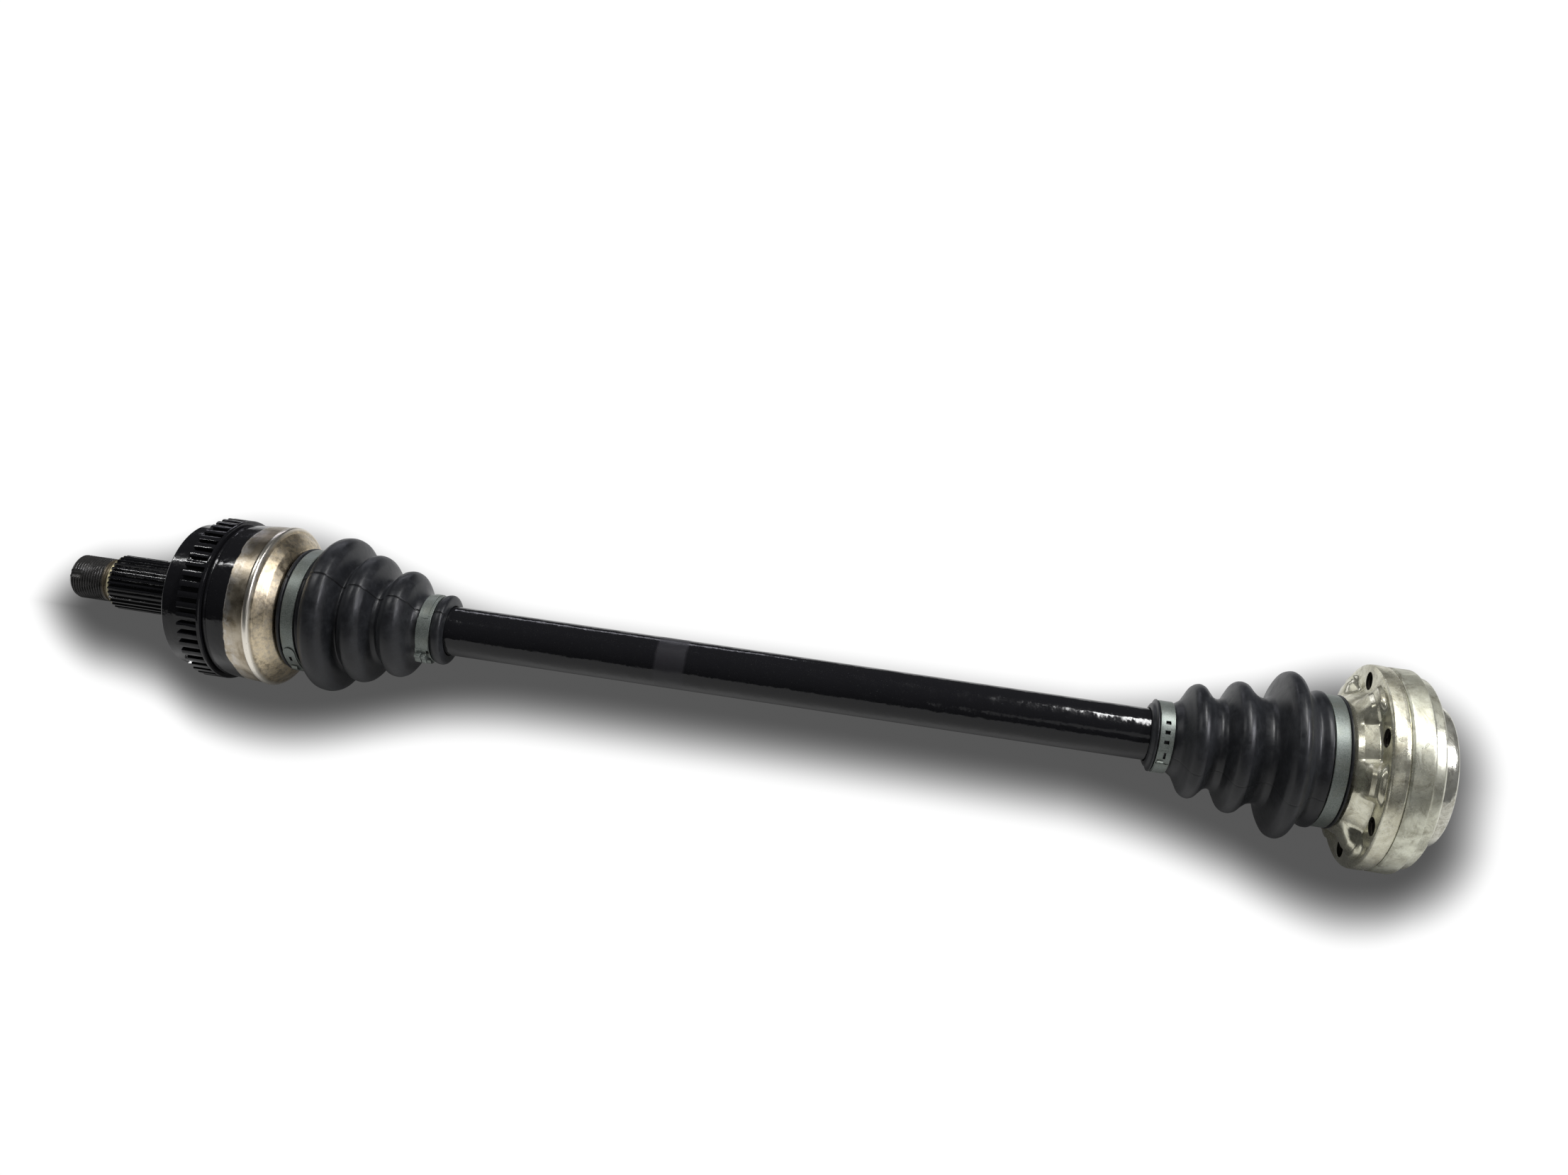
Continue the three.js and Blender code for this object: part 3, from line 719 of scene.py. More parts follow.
tone_phis = sorted((k + f) * TAU / TONE_TEETH % TAU for k in range(TONE_TEETH)
                   for f in TONE_STEPS)
turned("tone_ring_toothed", TONE_PROFILE, tone_phis, PAINT, "outer_housing", "tone_ring",
       tone_shape, loop=True, smooth_angle=30)

# ------------------------------------------------------------------ ball joint internals
RACE_BORE, RACE_EDGE, RACE_TEETH = 11.9, 13.0, 28


def race(prefix, joint):
    """Inner race: part of a sphere with six grooves and a splined bore."""
    right, left = joint.x + joint.race_half, joint.x - joint.race_half
    w = math.degrees(math.acos(joint.race_half / joint.race_radius))
    sphere = arc(joint.x, joint.race_radius, w, 180 - w, 26)
    profile = [(right, RACE_BORE), *divide([(right, RACE_EDGE), sphere[0]], 0.8)[:-1], *sphere,
               *divide([sphere[-1], (left, RACE_EDGE)], 0.8)[1:], (left, RACE_BORE)]
    centres = arc(joint.x, joint.pitch, 90 + 38, 90 - 38, 44)

    def shape(x, r, phi):
        lowest = RACE_EDGE - 0.05
        grooved = np.maximum(groove(x, r, phi, centres, side=-1), lowest)
        bore = 11.75 + 0.5 * spline_tooth(phi, RACE_TEETH, 2.4)
        return x, np.where(r < 12.5, bore, np.where(r > lowest, grooved, r))

    turned(prefix + "_inner_race_ground", profile, around(224), GROUND, "axle",
           prefix + "_race", shape, loop=True, smooth_angle=40)


def cage(prefix, joint):
    """Spherical shell with six windows, on a grid of quads that follows the windows."""
    half = joint.cage_half
    inner_r, outer_r = joint.cage_radii
    window = BALL_RADIUS + 0.3
    xs = np.unique(np.round(np.concatenate([
        np.linspace(-half, -window, 5), np.linspace(-window, window, 15),
        np.linspace(window, half, 5)]), 4))
    window_angle = math.asin(9.8 / ((inner_r + outer_r) / 2))
    phis = []
    for k in range(6):
        centre = k * TAU / 6
        phis += list(centre + np.linspace(-window_angle, window_angle, 13))
        phis += list(centre + np.linspace(window_angle, TAU / 6 - window_angle, 6)[1:-1])
    phis = np.array(phis)
    n, m = len(xs), len(phis)
    points = []
    for radius in (outer_r, inner_r):
        for x in xs:
            r = math.sqrt(radius * radius - x * x)
            points += [(joint.x + x, -r * math.sin(p), r * math.cos(p)) for p in phis]
    wall = n * m
    middle = phis + (np.roll(phis, -1) - phis) % TAU / 2
    in_x = np.abs((xs[:-1] + xs[1:]) / 2) < window
    solid = ~(in_x[:, None] & (np.abs(from_ball(middle)) < window_angle))
    faces = []
    for i, j in zip(*np.nonzero(solid)):
        k = (j + 1) % m
        a, b, c, d = (int(q) for q in (i * m + j, i * m + k, (i + 1) * m + k, (i + 1) * m + j))
        faces.append((a, b, c, d))
        faces.append((a + wall, d + wall, c + wall, b + wall))
        # walls at the rims and round each opening
        if i == 0 or not solid[i - 1, j]:
            faces.append((a, a + wall, b + wall, b))
        if i == n - 2 or not solid[i + 1, j]:
            faces.append((d, c, c + wall, d + wall))
        if not solid[i, (j - 1) % m]:
            faces.append((a, d, d + wall, a + wall))
        if not solid[i, k]:
            faces.append((b, b + wall, c + wall, c))
    ob = mesh_object(prefix + "_ball_cage_windowed", [(points, faces)], 35)
    dress(ob, GROUND, prefix + "_cage", prefix + "_cage_body")


def ball(name, cx, y, z, node, body):
    rings = 20
    w = 2 * rings
    points, faces = [(cx, y, z + BALL_RADIUS)], []
    for i in range(1, rings):
        th = math.pi * i / rings
        for j in range(w):
            ph = math.pi * j / rings
            points.append((cx + BALL_RADIUS * math.sin(th) * math.cos(ph),
                           y + BALL_RADIUS * math.sin(th) * math.sin(ph),
                           z + BALL_RADIUS * math.cos(th)))
    points.append((cx, y, z - BALL_RADIUS))
    last = 1 + (rings - 2) * w
    for j in range(w):
        k = (j + 1) % w
        faces.append((0, 1 + j, 1 + k))
        faces.append((last + j, len(points) - 1, last + k))
    for i in range(rings - 2):
        for j in range(w):
            a, b = 1 + i * w + j, 1 + i * w + (j + 1) % w
            faces.append((a, a + w, b + w, b))
    dress(mesh_object(name, [(points, faces)], 60), GROUND, node, body)


def circlip(name, x0, x1, node):
    """Split ring, open for 40 degrees round the top."""
    section = [(x0 + 0.12, 10.3), (x0, 10.42), (x0, 12.75), (x0 + 0.15, 12.9),
               (x1 - 0.15, 12.9), (x1, 12.75), (x1, 10.42), (x1 - 0.12, 10.3)]
    sections = [[(x, -r * math.sin(t), r * math.cos(t)) for x, r in section]
                for t in np.radians(np.linspace(20, 340, 73))]
    dress(mesh_object(name, [loft(sections)], 40), SPRING, node, "axle")


JOINTS = (("outer", OUTER), ("inner", INNER))
# balls with bodies of their own; the others ride the cage
BALL_BODIES = {1: "first_ball", 4: "last_ball"}
for prefix, joint in JOINTS:
    race(prefix, joint)
for prefix, joint in JOINTS:
    cage(prefix, joint)
for prefix, joint in JOINTS:
    for k in range(1, 7):
        ball(f"{prefix}_bearing_ball_{k}", joint.x, *polar(joint.pitch, 60 * (k - 1)),
             f"{prefix}_ball_{k}", prefix + "_" + BALL_BODIES.get(k, "cage_body"))

circlip("outer_bar_circlip", -261.0, -259.5, "outer_circlip")
circlip("inner_bar_circlip", 350.5, 352.0, "inner_circlip")

# name, node, closed section of (x, r, corner radius)
SPRING_RINGS = [
    ("outer_thrust_ring_turned", "outer_thrust_ring",
     [(-235.7, 11.75), (-236.7, 11.75, 0.2), (-236.7, 16.4, 0.3), (-234.8, 16.4, 0.3),
      (-234.8, 11.75, 0.2)]),
    ("outer_spring_washer", "outer_dished_washer",
     [(-233.8, 17.2), (-234.4, 17.2, 0.2), (-232.6, 11.75, 0.2), (-231.4, 11.75, 0.2),
      (-233.2, 17.2, 0.2)]),
    ("inner_spring_washer", "inner_dished_washer",
     [(329.1, 17.0), (328.5, 17.0, 0.2), (327.0, 11.75, 0.2), (328.2, 11.75, 0.2),
      (329.7, 17.0, 0.2)])]
for name, node, section in SPRING_RINGS:
    turned(name, fillet([*section, section[0]], 3)[:-1], around(72), SPRING, "axle", node,
           loop=True)

# ------------------------------------------------------------------ axle bar
# (x, r, corner radius)
BAR_PROFILE = [
    (-263.0, 0), (-263.0, 10.4, 0.3), (-262.4, 11.2, 0.2), (-261.3, 11.2), (-261.3, 9.9),
    (-259.2, 9.9), (-259.2, 11.2), (-231.1, 11.2), (-231.1, 13.0, 0.3), (-228.2, 13.0, 0.6),
    (-226.0, 11.0, 1.0), (-206.0, 11.0, 4.0), (-198.0, BAR_RADIUS, 4.0),
    (290.0, BAR_RADIUS, 4.0), (298.0, 11.0, 4.0), (321.0, 11.0, 1.0), (323.2, 13.0, 0.6),
    (326.6, 13.0, 0.3), (326.6, 11.2), (350.2, 11.2), (350.2, 9.9), (352.3, 9.9),
    (352.3, 11.2), (353.4, 11.2, 0.2), (354.0, 10.4, 0.3), (354.0, 0)]
rng = np.random.default_rng(7)
# frequency along X (radians per mm), waves round the bar, phase, strength
BAR_WAVES = [(rng.uniform(0.004, 0.02), rng.integers(1, 4), rng.uniform(0, TAU),
              rng.uniform(-1, 1)) for _ in range(10)]


def bar_shape(x, r, phi):
    """Faint swells on the body and splines at both ends."""
    swell = sum(0.018 * w * np.cos(f * x + k * phi + p) for f, k, p, w in BAR_WAVES)
    body = (r > 13.25) & (x > -197) & (x < 289)
    splined = ((x > -261.0) & (x < -231.2)) | ((x > 326.7) & (x < 353.2))
    splined &= (r > 11.15) & (r < 11.4)
    gap = 0.55 * (1 - spline_tooth(phi, RACE_TEETH, 2.4))
    return x, np.where(splined, r - gap, np.where(body, r + swell, r))


turned("axle_bar_painted", divide(fillet(BAR_PROFILE), 6.0), around(224), BAR, "axle",
       "axle_bar", bar_shape, smooth_angle=30)


# ------------------------------------------------------------------ boots
def boot_part(name, outer, inner, normals, seam):
    """One length of a boot as a closed ring. Its outer face takes the given normals, so that
    all lengths shade as one."""
    n, m = seam.shape
    wall, end = n * m, (n - 1) * m
    faces = []
    for i in range(n - 1):
        for j in range(m):
            k = (j + 1) % m
            a, b, c, d = i * m + j, i * m + k, (i + 1) * m + k, (i + 1) * m + j
            faces.append((a, b, c, d))
            faces.append((a + wall, d + wall, c + wall, b + wall))
    for j in range(m):
        k = (j + 1) % m
        faces.append((j, j + wall, k + wall, k))
        faces.append((end + j, end + k, end + k + wall, end + j + wall))
    points = np.concatenate([outer.reshape(-1, 3), inner.reshape(-1, 3)])
    ob = mesh_object(name, [(points, faces)], 50)
    mesh = ob.data
    shared = normals.reshape(-1, 3).astype(np.float32).tolist()
    corners = [tuple(q.vector) for q in mesh.corner_normals]
    for face in mesh.polygons:
        if max(face.vertices) < wall:
            for corner, vertex in zip(face.loop_indices, face.vertices):
                corners[corner] = shared[vertex]
    mesh.normals_split_custom_set(corners)
    values = np.zeros(len(mesh.vertices), np.float32)
    values[:wall] = seam.reshape(-1)
    mesh.attributes.new("seam", "FLOAT", "POINT").data.foreach_set("value", values)
    return ob


def boot(prefix, outline, bore, lengths, seam_azimuth, seam_strength):
    """Ribbed sleeve, made as several lengths."""
    outer = np.array(smooth_curve(outline, 0.75))
    inner = np.array(smooth_curve(bore, 1.5))
    xs = np.unique(np.round(outer[:, 0], 4))
    for length in lengths:
        for end in length[:2]:
            if not np.any(np.abs(xs - end) < 0.02):
                xs = np.sort(np.append(xs, end))
    outer_r = np.interp(xs, outer[:, 0], outer[:, 1])[:, None]
    inner_r = np.interp(xs, inner[:, 0], inner[:, 1])[:, None]
    # even steps round the boot, finer at the two mould lines
    seam = math.radians(seam_azimuth)
    seams = (seam, seam + math.pi)
    fine = [s + math.radians(q) for s in seams
            for q in (-1.3, -0.9, -0.6, -0.4, -0.2, 0, 0.2, 0.4, 0.6, 0.9, 1.3)]
    even = [q for q in around(180) if min(abs(wrap(q - s)) for s in seams) > math.radians(1.6)]
    phis = np.array(sorted([q % TAU for q in even + fine]))
    x_grid = np.repeat(xs[:, None], len(phis), 1)
    # mould lines: narrow and dark, slightly sunken
    dark = np.zeros(x_grid.shape, np.float32)
    for s, share in zip(seams, (1.0, 0.8)):
        distance = np.abs(wrap(phis[None, :] - s)) * outer_r
        dark += share * seam_strength * np.exp(-(distance / 0.40) ** 2)
    # faint unevenness, weaker where the wall is thin
    soft = (0.10 * np.sin(xs[:, None] * 0.11 + 3 * phis)
            + 0.07 * np.sin(xs[:, None] * 0.23 - 2 * phis + 1.3))
    shaped_r = outer_r - 0.28 * dark + soft * np.clip(outer_r - inner_r - 2.2, 0.15, 1)

    def surface(r):
        return np.stack([x_grid, -r * np.sin(phis), r * np.cos(phis)], -1)

    outside, inside = surface(shaped_r), surface(inner_r)
    normals = np.cross(np.roll(outside, -1, 1) - np.roll(outside, 1, 1),
                       np.gradient(outside, axis=0))
    normals /= np.linalg.norm(normals, axis=-1, keepdims=True)
    for k, (lo, hi, body_a, x_a, body_b, x_b) in enumerate(lengths, 1):
        rows = (xs >= lo - 0.011) & (xs <= hi + 0.011)
        ob = boot_part(f"{prefix}_boot_part_{k}", outside[rows], inside[rows], normals[rows],
                       dark[rows])
        dress(ob, RUBBER, prefix + "_boot")
        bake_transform(ob)


# outside and bore of each boot: (x, r)
OUTER_BOOT = [
    (-229.9, 33.0), (-229.6, 33.5), (-228.9, 33.7), (-228.2, 33.4), (-227.8, 32.4),
    (-227.4, 32.2), (-220.2, 32.2), (-219.8, 32.6), (-219.2, 33.0), (-218.4, 33.1),
    (-217.9, 32.8), (-217.2, 33.6), (-216.0, 36.6), (-213.6, 40.2), (-210.6, 41.9),
    (-207.8, 42.2), (-205.0, 41.4), (-202.6, 38.6), (-200.8, 34.2), (-199.7, 30.9),
    (-198.5, 29.6), (-197.4, 30.2), (-195.4, 32.9), (-193.3, 34.5), (-191.1, 34.9),
    (-188.7, 34.3), (-185.8, 31.6), (-183.8, 27.2), (-182.0, 23.6), (-180.2, 22.6),
    (-178.8, 23.3), (-176.4, 26.6), (-173.8, 28.6), (-171.2, 29.0), (-168.8, 28.3),
    (-165.6, 24.8), (-163.6, 20.4), (-162.2, 18.4), (-160.8, 17.5), (-159.6, 17.0),
    (-152.0, 17.0), (-151.6, 17.3), (-150.9, 18.2), (-149.6, 18.8), (-148.2, 19.0),
    (-147.1, 18.7), (-146.4, 18.0), (-146.0, 16.9), (-145.8, 15.4), (-145.7, 14.4)]
OUTER_BOOT_BORE = [
    (-229.9, 30.6), (-217.4, 30.6), (-214.6, 34.0), (-210.4, 38.9), (-207.8, 39.6),
    (-205.0, 38.8), (-201.2, 30.8), (-198.4, 26.9), (-194.8, 30.0), (-190.5, 32.3),
    (-187.0, 31.0), (-183.4, 22.6), (-180.2, 19.9), (-176.0, 23.6), (-170.2, 26.4),
    (-167.0, 24.4), (-163.4, 16.2), (-161.0, 14.4), (-159.6, 13.75), (-145.7, 13.75)]
# start and end of the length, then the body and station at each end of its bend
# The second bend is written from its other end, so that the centre of its turn is accurate.
OUTER_LENGTHS = [
    (-229.9, -211.0, "outer_housing", -219.6, "outer_last_ball", -211.0),
    (-211.0, -202.5, "outer_cage_body", -202.5, "outer_last_ball", -211.0),
    (-202.5, -189.0, "outer_cage_body", -202.5, "outer_first_ball", -189.0),
    (-189.0, -145.7, "outer_first_ball", -189.0, "axle", -172.0)]
boot("outer", OUTER_BOOT, OUTER_BOOT_BORE, OUTER_LENGTHS, seam_azimuth=22.5, seam_strength=1.0)

INNER_BOOT = [
    (224.8, 14.4), (225.0, 15.4), (225.6, 16.2), (226.5, 16.9), (226.9, 17.8), (227.2, 18.5),
    (227.6, 18.6), (227.9, 18.2), (228.1, 17.0), (235.8, 17.0), (236.3, 17.4), (237.4, 18.2),
    (239.4, 19.6), (242.0, 23.6), (244.4, 27.6), (246.4, 28.9), (247.9, 29.2), (249.8, 28.6),
    (252.2, 26.2), (254.8, 23.6), (257.4, 22.8), (259.8, 23.8), (262.4, 28.4), (264.8, 32.2),
    (266.6, 33.2), (268.0, 33.4), (270.2, 32.8), (273.2, 30.0), (276.8, 27.4), (280.6, 26.7),
    (283.0, 28.2), (284.8, 32.6), (286.8, 38.4), (289.2, 41.6), (291.7, 42.2), (294.0, 41.2),
    (296.6, 37.6), (299.0, 34.2), (301.2, 33.0), (302.6, 33.4), (304.6, 34.4), (306.2, 34.5),
    (306.9, 34.0), (307.2, 32.4), (307.5, 32.2), (315.0, 32.2), (315.3, 33.0), (315.8, 33.6),
    (316.4, 33.4), (316.6, 32.8)]
INNER_BOOT_BORE = [
    (224.8, 13.75), (236.8, 13.75), (239.8, 16.4), (244.6, 24.8), (247.9, 26.6),
    (251.6, 24.0), (257.4, 20.1), (261.0, 23.4), (265.0, 29.6), (268.0, 30.8), (272.6, 27.8),
    (280.6, 24.0), (284.0, 27.6), (288.0, 37.0), (291.7, 39.6), (295.0, 37.0), (299.6, 31.4),
    (302.2, 30.6), (316.6, 30.6)]
INNER_LENGTHS = [
    (224.8, 268.0, "axle", 250.0, "inner_first_ball", 268.0),
    (268.0, 284.0, "inner_first_ball", 268.0, "inner_cage_body", 284.0),
    (284.0, 291.0, "inner_cage_body", 284.0, "inner_last_ball", 291.0),
    (291.0, 298.0, "inner_last_ball", 291.0, "inner_plunge_body", 298.0),
    (298.0, 316.6, "inner_plunge_body", 298.0, "inner_housing", 306.0)]
boot("inner", INNER_BOOT, INNER_BOOT_BORE, INNER_LENGTHS, seam_azimuth=84.0, seam_strength=0.45)


# ------------------------------------------------------------------ band clamps
def hoop(radii, x0, x1):
    """Flat band with slightly rolled edges."""
    r0, r1 = radii
    section = [((x0 + x1) / 2, r0), (x0, r0, 0.15), (x0, r1 - 0.06, 0.3), (x0 + 0.9, r1, 1.2),
               (x1 - 0.9, r1, 1.2), (x1, r1 - 0.06, 0.3), (x1, r0, 0.15)]
    return revolve(fillet(section), around(180), loop=True)


def strap(radii, azimuths, stations, tip=0.0, crown=0.0):
    """Curved plate. tip is the length of the rounded end at the first azimuth, and crown is
    the drop of the top towards its edges."""
    n, m = 40, 8
    (r0, r1), (x0, x1) = radii, stations
    az = np.radians(np.linspace(*azimuths, n + 1))
    half, middle = (x1 - x0) / 2, (x0 + x1) / 2
    width = np.ones(n + 1)
    if tip > 0:
        u = np.clip(r0 * (az - az[0]) / tip, 0, 1)
        width = np.maximum(np.sqrt(np.clip(1 - (1 - u) ** 2, 0, 1)), 0.12)
    top, bottom = [], []
    for k in range(n + 1):
        for q in np.linspace(-1, 1, m + 1):
            x = middle + q * half * width[k]
            for r, side in ((r1 - crown * q ** 4, top), (r0, bottom)):
                side.append((x, -r * math.sin(az[k]), r * math.cos(az[k])))
    under = (n + 1) * (m + 1)
    faces = []
    for k in range(n):
        for j in range(m):
            a = k * (m + 1) + j
            faces.append((a, a + 1, a + m + 2, a + m + 1))
            faces.append((a + under, a + m + 1 + under, a + m + 2 + under, a + 1 + under))
    edge = [*range(m + 1), *(k * (m + 1) + m for k in range(1, n + 1)),
            *(n * (m + 1) + j for j in range(m - 1, -1, -1)),
            *(k * (m + 1) for k in range(n - 1, 0, -1))]
    faces += [(b, a, a + under, b + under) for a, b in zip(edge, edge[1:] + edge[:1])]
    return np.array(top + bottom), faces


def on_band(outline, r, azimuth, x0, x1):
    """Closed outline of (along the band, height), drawn out along X with eased ends."""
    bevel = 0.35
    points = np.array(outline, float)
    centre = points.mean(0)
    # (x, size of the section)
    stations = [(x0, 0.93), (x0 + bevel * 0.4, 0.975), (x0 + bevel, 1.0), ((x0 + x1) / 2, 1.0),
                (x1 - bevel, 1.0), (x1 - bevel * 0.4, 0.975), (x1, 0.93)]
    sections = []
    for x, size in stations:
        section = []
        for u, h in (points - centre) * size + centre:
            t = math.radians(azimuth) + u / r
            section.append((x, -(r + h) * math.sin(t), (r + h) * math.cos(t)))
        sections.append(section)
    return loft(sections)


def block(cx, half_x, half_round, radii, azimuth):
    """Sharp cutter, sized along X, round the band and between two radii."""
    t = math.radians(azimuth)
    outwards = np.array([0, -math.sin(t), math.cos(t)])
    sideways = np.array([0, -math.cos(t), -math.sin(t)])
    points = [np.array([cx + sx * half_x, 0, 0]) + sideways * (su * half_round) + outwards * r
              for r in radii for sx, su in ((-1, -1), (1, -1), (1, 1), (-1, 1))]
    return np.array(points), [(0, 1, 2, 3), (4, 7, 6, 5), (0, 4, 5, 1), (1, 5, 6, 2),
                              (2, 6, 7, 3), (3, 7, 4, 0)]


def clamp(joint, size, body, shells, cutters):
    """The first two shells are the hoop and its lap, and the cutters go through both."""
    name = f"{joint}_band_clamp_{size}"
    done = []
    for k, shell in enumerate(shells):
        if k < 2:
            sheet = mesh_object(f"{name}_sheet_{k}", [shell])
            cut(sheet, [mesh_object(f"{name}_cut_{i}", [c]) for i, c in enumerate(cutters)])
            mesh = sheet.data
            shell = (np.array([v.co for v in mesh.vertices]) / MM,
                     [tuple(q.vertices) for q in mesh.polygons])
            bpy.data.objects.remove(sheet)
        done.append(shell)
    dress(mesh_object(name, done, 35), ZINC, f"{joint}_clamp_{size}", body)


# raised shapes on the bands: (along the band, height)
EAR = smooth_outline([
    (-6.0, 0.0), (-4.6, 0.75), (-3.0, 0.85), (-2.35, 1.1), (-2.15, 1.9), (-2.9, 2.8),
    (-2.5, 3.45), (-1.3, 3.55), (0, 3.05), (1.3, 3.55), (2.5, 3.45), (2.9, 2.8), (2.15, 1.9),
    (2.35, 1.1), (3.0, 0.85), (4.6, 0.75), (6.0, 0.0), (3.0, -0.35), (0, -0.4), (-3.0, -0.35)])
HOOK = smooth_outline([(-2.6, -0.3), (-2.4, 0.7), (-1.0, 1.5), (0.6, 1.55), (1.5, 1.0),
                       (2.6, 0.75), (2.6, -0.3)])
LOW_EAR = smooth_outline([(-1.0, -0.3), (-0.95, 0.7), (-0.5, 1.5), (0.1, 1.75), (0.6, 1.5),
                          (0.8, 0.9), (0.9, -0.3)])
# radii of the hoops and of the cutters through them
LARGE, SMALL = (32.45, 33.3), (17.25, 18.1)
LARGE_CUT, SMALL_CUT = (30.5, 35.5), (15.5, 20.5)

clamp("outer", "large", "outer_housing",
      [hoop(LARGE, -227.3, -220.3),
       strap((33.26, 34.0), (90.5, 134), (-227.0, -220.6), tip=3.3, crown=0.08),
       on_band(HOOK, 33.9, 118, -225.4, -222.2)],
      [block(-223.8, 0.75, 1.75, LARGE_CUT, 104)])
clamp("outer", "small", "axle",
      [hoop(SMALL, -159.2, -152.0),
       strap((18.06, 18.75), (37, 101), (-159.0, -152.2), crown=0.06),
       strap((18.05, 18.5), (-64, 36), (-157.0, -153.6), crown=0.05),
       on_band(EAR, 18.2, 105, -159.4, -156.1),
       on_band(EAR, 18.1, 106.5, -155.8, -153.4),
       strap((18.05, 18.7), (116, 140), (-158.6, -153.0), crown=0.06),
       on_band(HOOK, 18.4, 124, -154.6, -152.4)],
      [block(-153.2, 0.9, 1.4, SMALL_CUT, 97)])
clamp("inner", "small", "axle",
      [hoop(SMALL, 228.4, 235.6),
       strap((18.06, 18.7), (8, 71), (228.6, 235.4), crown=0.06),
       on_band(LOW_EAR, 18.0, 95, 229.1, 232.4),
       strap((18.05, 18.55), (98, 160), (228.8, 235.2), crown=0.06)],
      [block(232.0, 1.25, 0.95, SMALL_CUT, azimuth) for azimuth in (27.5, 43, 58.5)]
      + [block(232.3, 0.6, 1.9, (15.5, 20.2), 82)])
clamp("inner", "large", "inner_housing",
      [hoop(LARGE, 307.7, 314.8),
       strap((33.26, 33.95), (196, 222), (307.9, 314.6), tip=3.3, crown=0.08)],
      [block(311.3, 0.75, 1.75, LARGE_CUT, 209)])


# ------------------------------------------------------------------ inner joint housing
# pressed boot can, gasket, grooved ring and end cap
def ease(t):
    t = np.clip(t, 0, 1)
    return t * t * (3 - 2 * t)


def pierced(name, profile, finish, node, x0, x1, columns, shape=None):
    """Turned ring with the six bolt holes cut between stations x0 and x1."""
    ob = mesh_object(name, [revolve(profile, around(columns), shape, loop=True)], 30)
    cut(ob, [mesh_object(f"bolt_cut_{k}", [rod(x0, x1, *polar(BOLT_CIRCLE / 2, 30 + 60 * k),
                                               BOLT_RADIUS)]) for k in range(6)])
    shade(ob.data, 30)
    return dress(ob, finish, node, "inner_housing")


# (x, r, corner radius)
CAN_PROFILE = [
    (310.0, 30.3), (316.4, 30.3, 1.0), (318.0, 32.8, 1.4), (320.5, 34.8, 2), (324.0, 36.2, 2),
    (326.6, 37.4, 1.5), (327.5, 38.6, 0.8), (327.5, 44.0), (327.5, 49.4, 0.9),
    (328.2, 51.0, 0.8), (330.0, 51.2), (333.6, 51.15, 1.0), (335.3, 50.95, 1.0),
    (336.05, 50.35, 0.3), (336.05, 50.2, 0.1), (334.0, 50.25), (329.3, 50.2, 0.4),
    (328.7, 49.6, 0.4), (328.7, 44.0), (328.7, 37.6, 0.5), (324.3, 35.1, 1.5),
    (321.0, 33.6, 1.5), (319.0, 31.7, 1.2), (317.4, 29.2, 0.8), (303.5, 29.2, 0.3),
    (303.5, 30.3, 0.3)]
# how far the six lobes rise above the profile, by station
LOBE_STATIONS, LOBE_RISE = [316.9, 318.0, 320.5, 324.0, 328.7], [0, 0.2, 2.2, 6.0, 7.0]
RING_PROFILE = [
    (340.0, 30.0), (329.4, 30.0, 0.4), (329.4, 49.0, 0.6), (330.0, 49.7, 0.5), (336.3, 49.7),
    (336.3, 50.3, 0.15), (337.4, 51.0, 0.9), (346.7, 51.0, 0.6), (347.2, 49.0, 0.4),
    (348.2, 48.6, 0.8), (352.4, 47.7, 1.0), (353.6, 46.2, 0.6), (353.6, 37.7, 0.2),
    (351.3, 37.6), (351.3, 30.0, 0.3)]
GASKET_PROFILE = [(328.75, 38.8), (328.75, 48.6), (329.2, 48.6), (329.2, 38.8)]
CAP_PROFILE = [
    (HALF_LENGTH, 0), (HALF_LENGTH, 30.0), (HALF_LENGTH, 35.1, 2.6), (361.0, 36.1, 2.0),
    (354.6, 37.0, 0.6), (354.2, 37.4, 0.25), (353.7, 37.4, 0.25), (353.6, 37.2),
    (351.8, 37.2, 0.2), (351.6, 36.1, 0.3), (354.4, 36.0, 0.8), (360.8, 34.9, 1.0),
    (362.7, 34.0, 1.4), (362.7, 0)]


def can_shape(x, r, phi):
    """Six lobes that rise and lean towards -X, and shallow dents on the cone."""
    lobe = ease((np.cos(6 * phi) + 0.15) / 1.10)
    cone = x < 327.3
    pull = np.where(cone, np.interp(x, [319.0, 327.3], [0.0, 1.0]), ease((47.5 - r) / 8.9))
    pull = np.where(x < 327.9, 3.0 * lobe * pull, 0)
    share = np.where(cone, 1.0, ease((49.0 - r) / (49.0 - 38.8)))
    share = np.where(x > 328.9, 0, share)
    dent = 0.10 * np.sin(5 * phi + x * 0.3) * ((x > 317) & (x < 327))
    return x - pull, r + np.interp(x, LOBE_STATIONS, LOBE_RISE) * lobe * share + dent


def ring_shape(x, r, phi):
    """Six straight ball grooves in the bore."""
    reach = groove(0.0, 0.0, phi, [(0.0, INNER.pitch)], side=1)
    end_face = (r < 37.59) & ((x < 329.9) | ((x > 351.2) & (x < 351.4)))
    return x, np.where((r < 30.5) | end_face, np.maximum(r, np.minimum(reach, 37.55)), r)


can = pierced("boot_can_pressed", divide(fillet(CAN_PROFILE), 1.3), CAN, "inner_boot_can",
              324.0, 330.0, 288, can_shape)
pierced("can_gasket_cut", divide(GASKET_PROFILE, 2.5), CARD, "inner_can_gasket",
        327.0, 331.0, 96)
ring = pierced("joint_ring_grooved", divide(fillet(RING_PROFILE), 1.6), RING,
               "inner_joint_ring", 327.0, 356.0, 360, ring_shape)
cap = turned("dust_cap_domed", divide(fillet(CAP_PROFILE, 5), 2.0), around(192), CAP,
             "inner_housing", "inner_end_cap")

# ------------------------------------------------------------------ floor (metres)
CAMERA_AT = (0.107058, -0.514607, 0.429253)
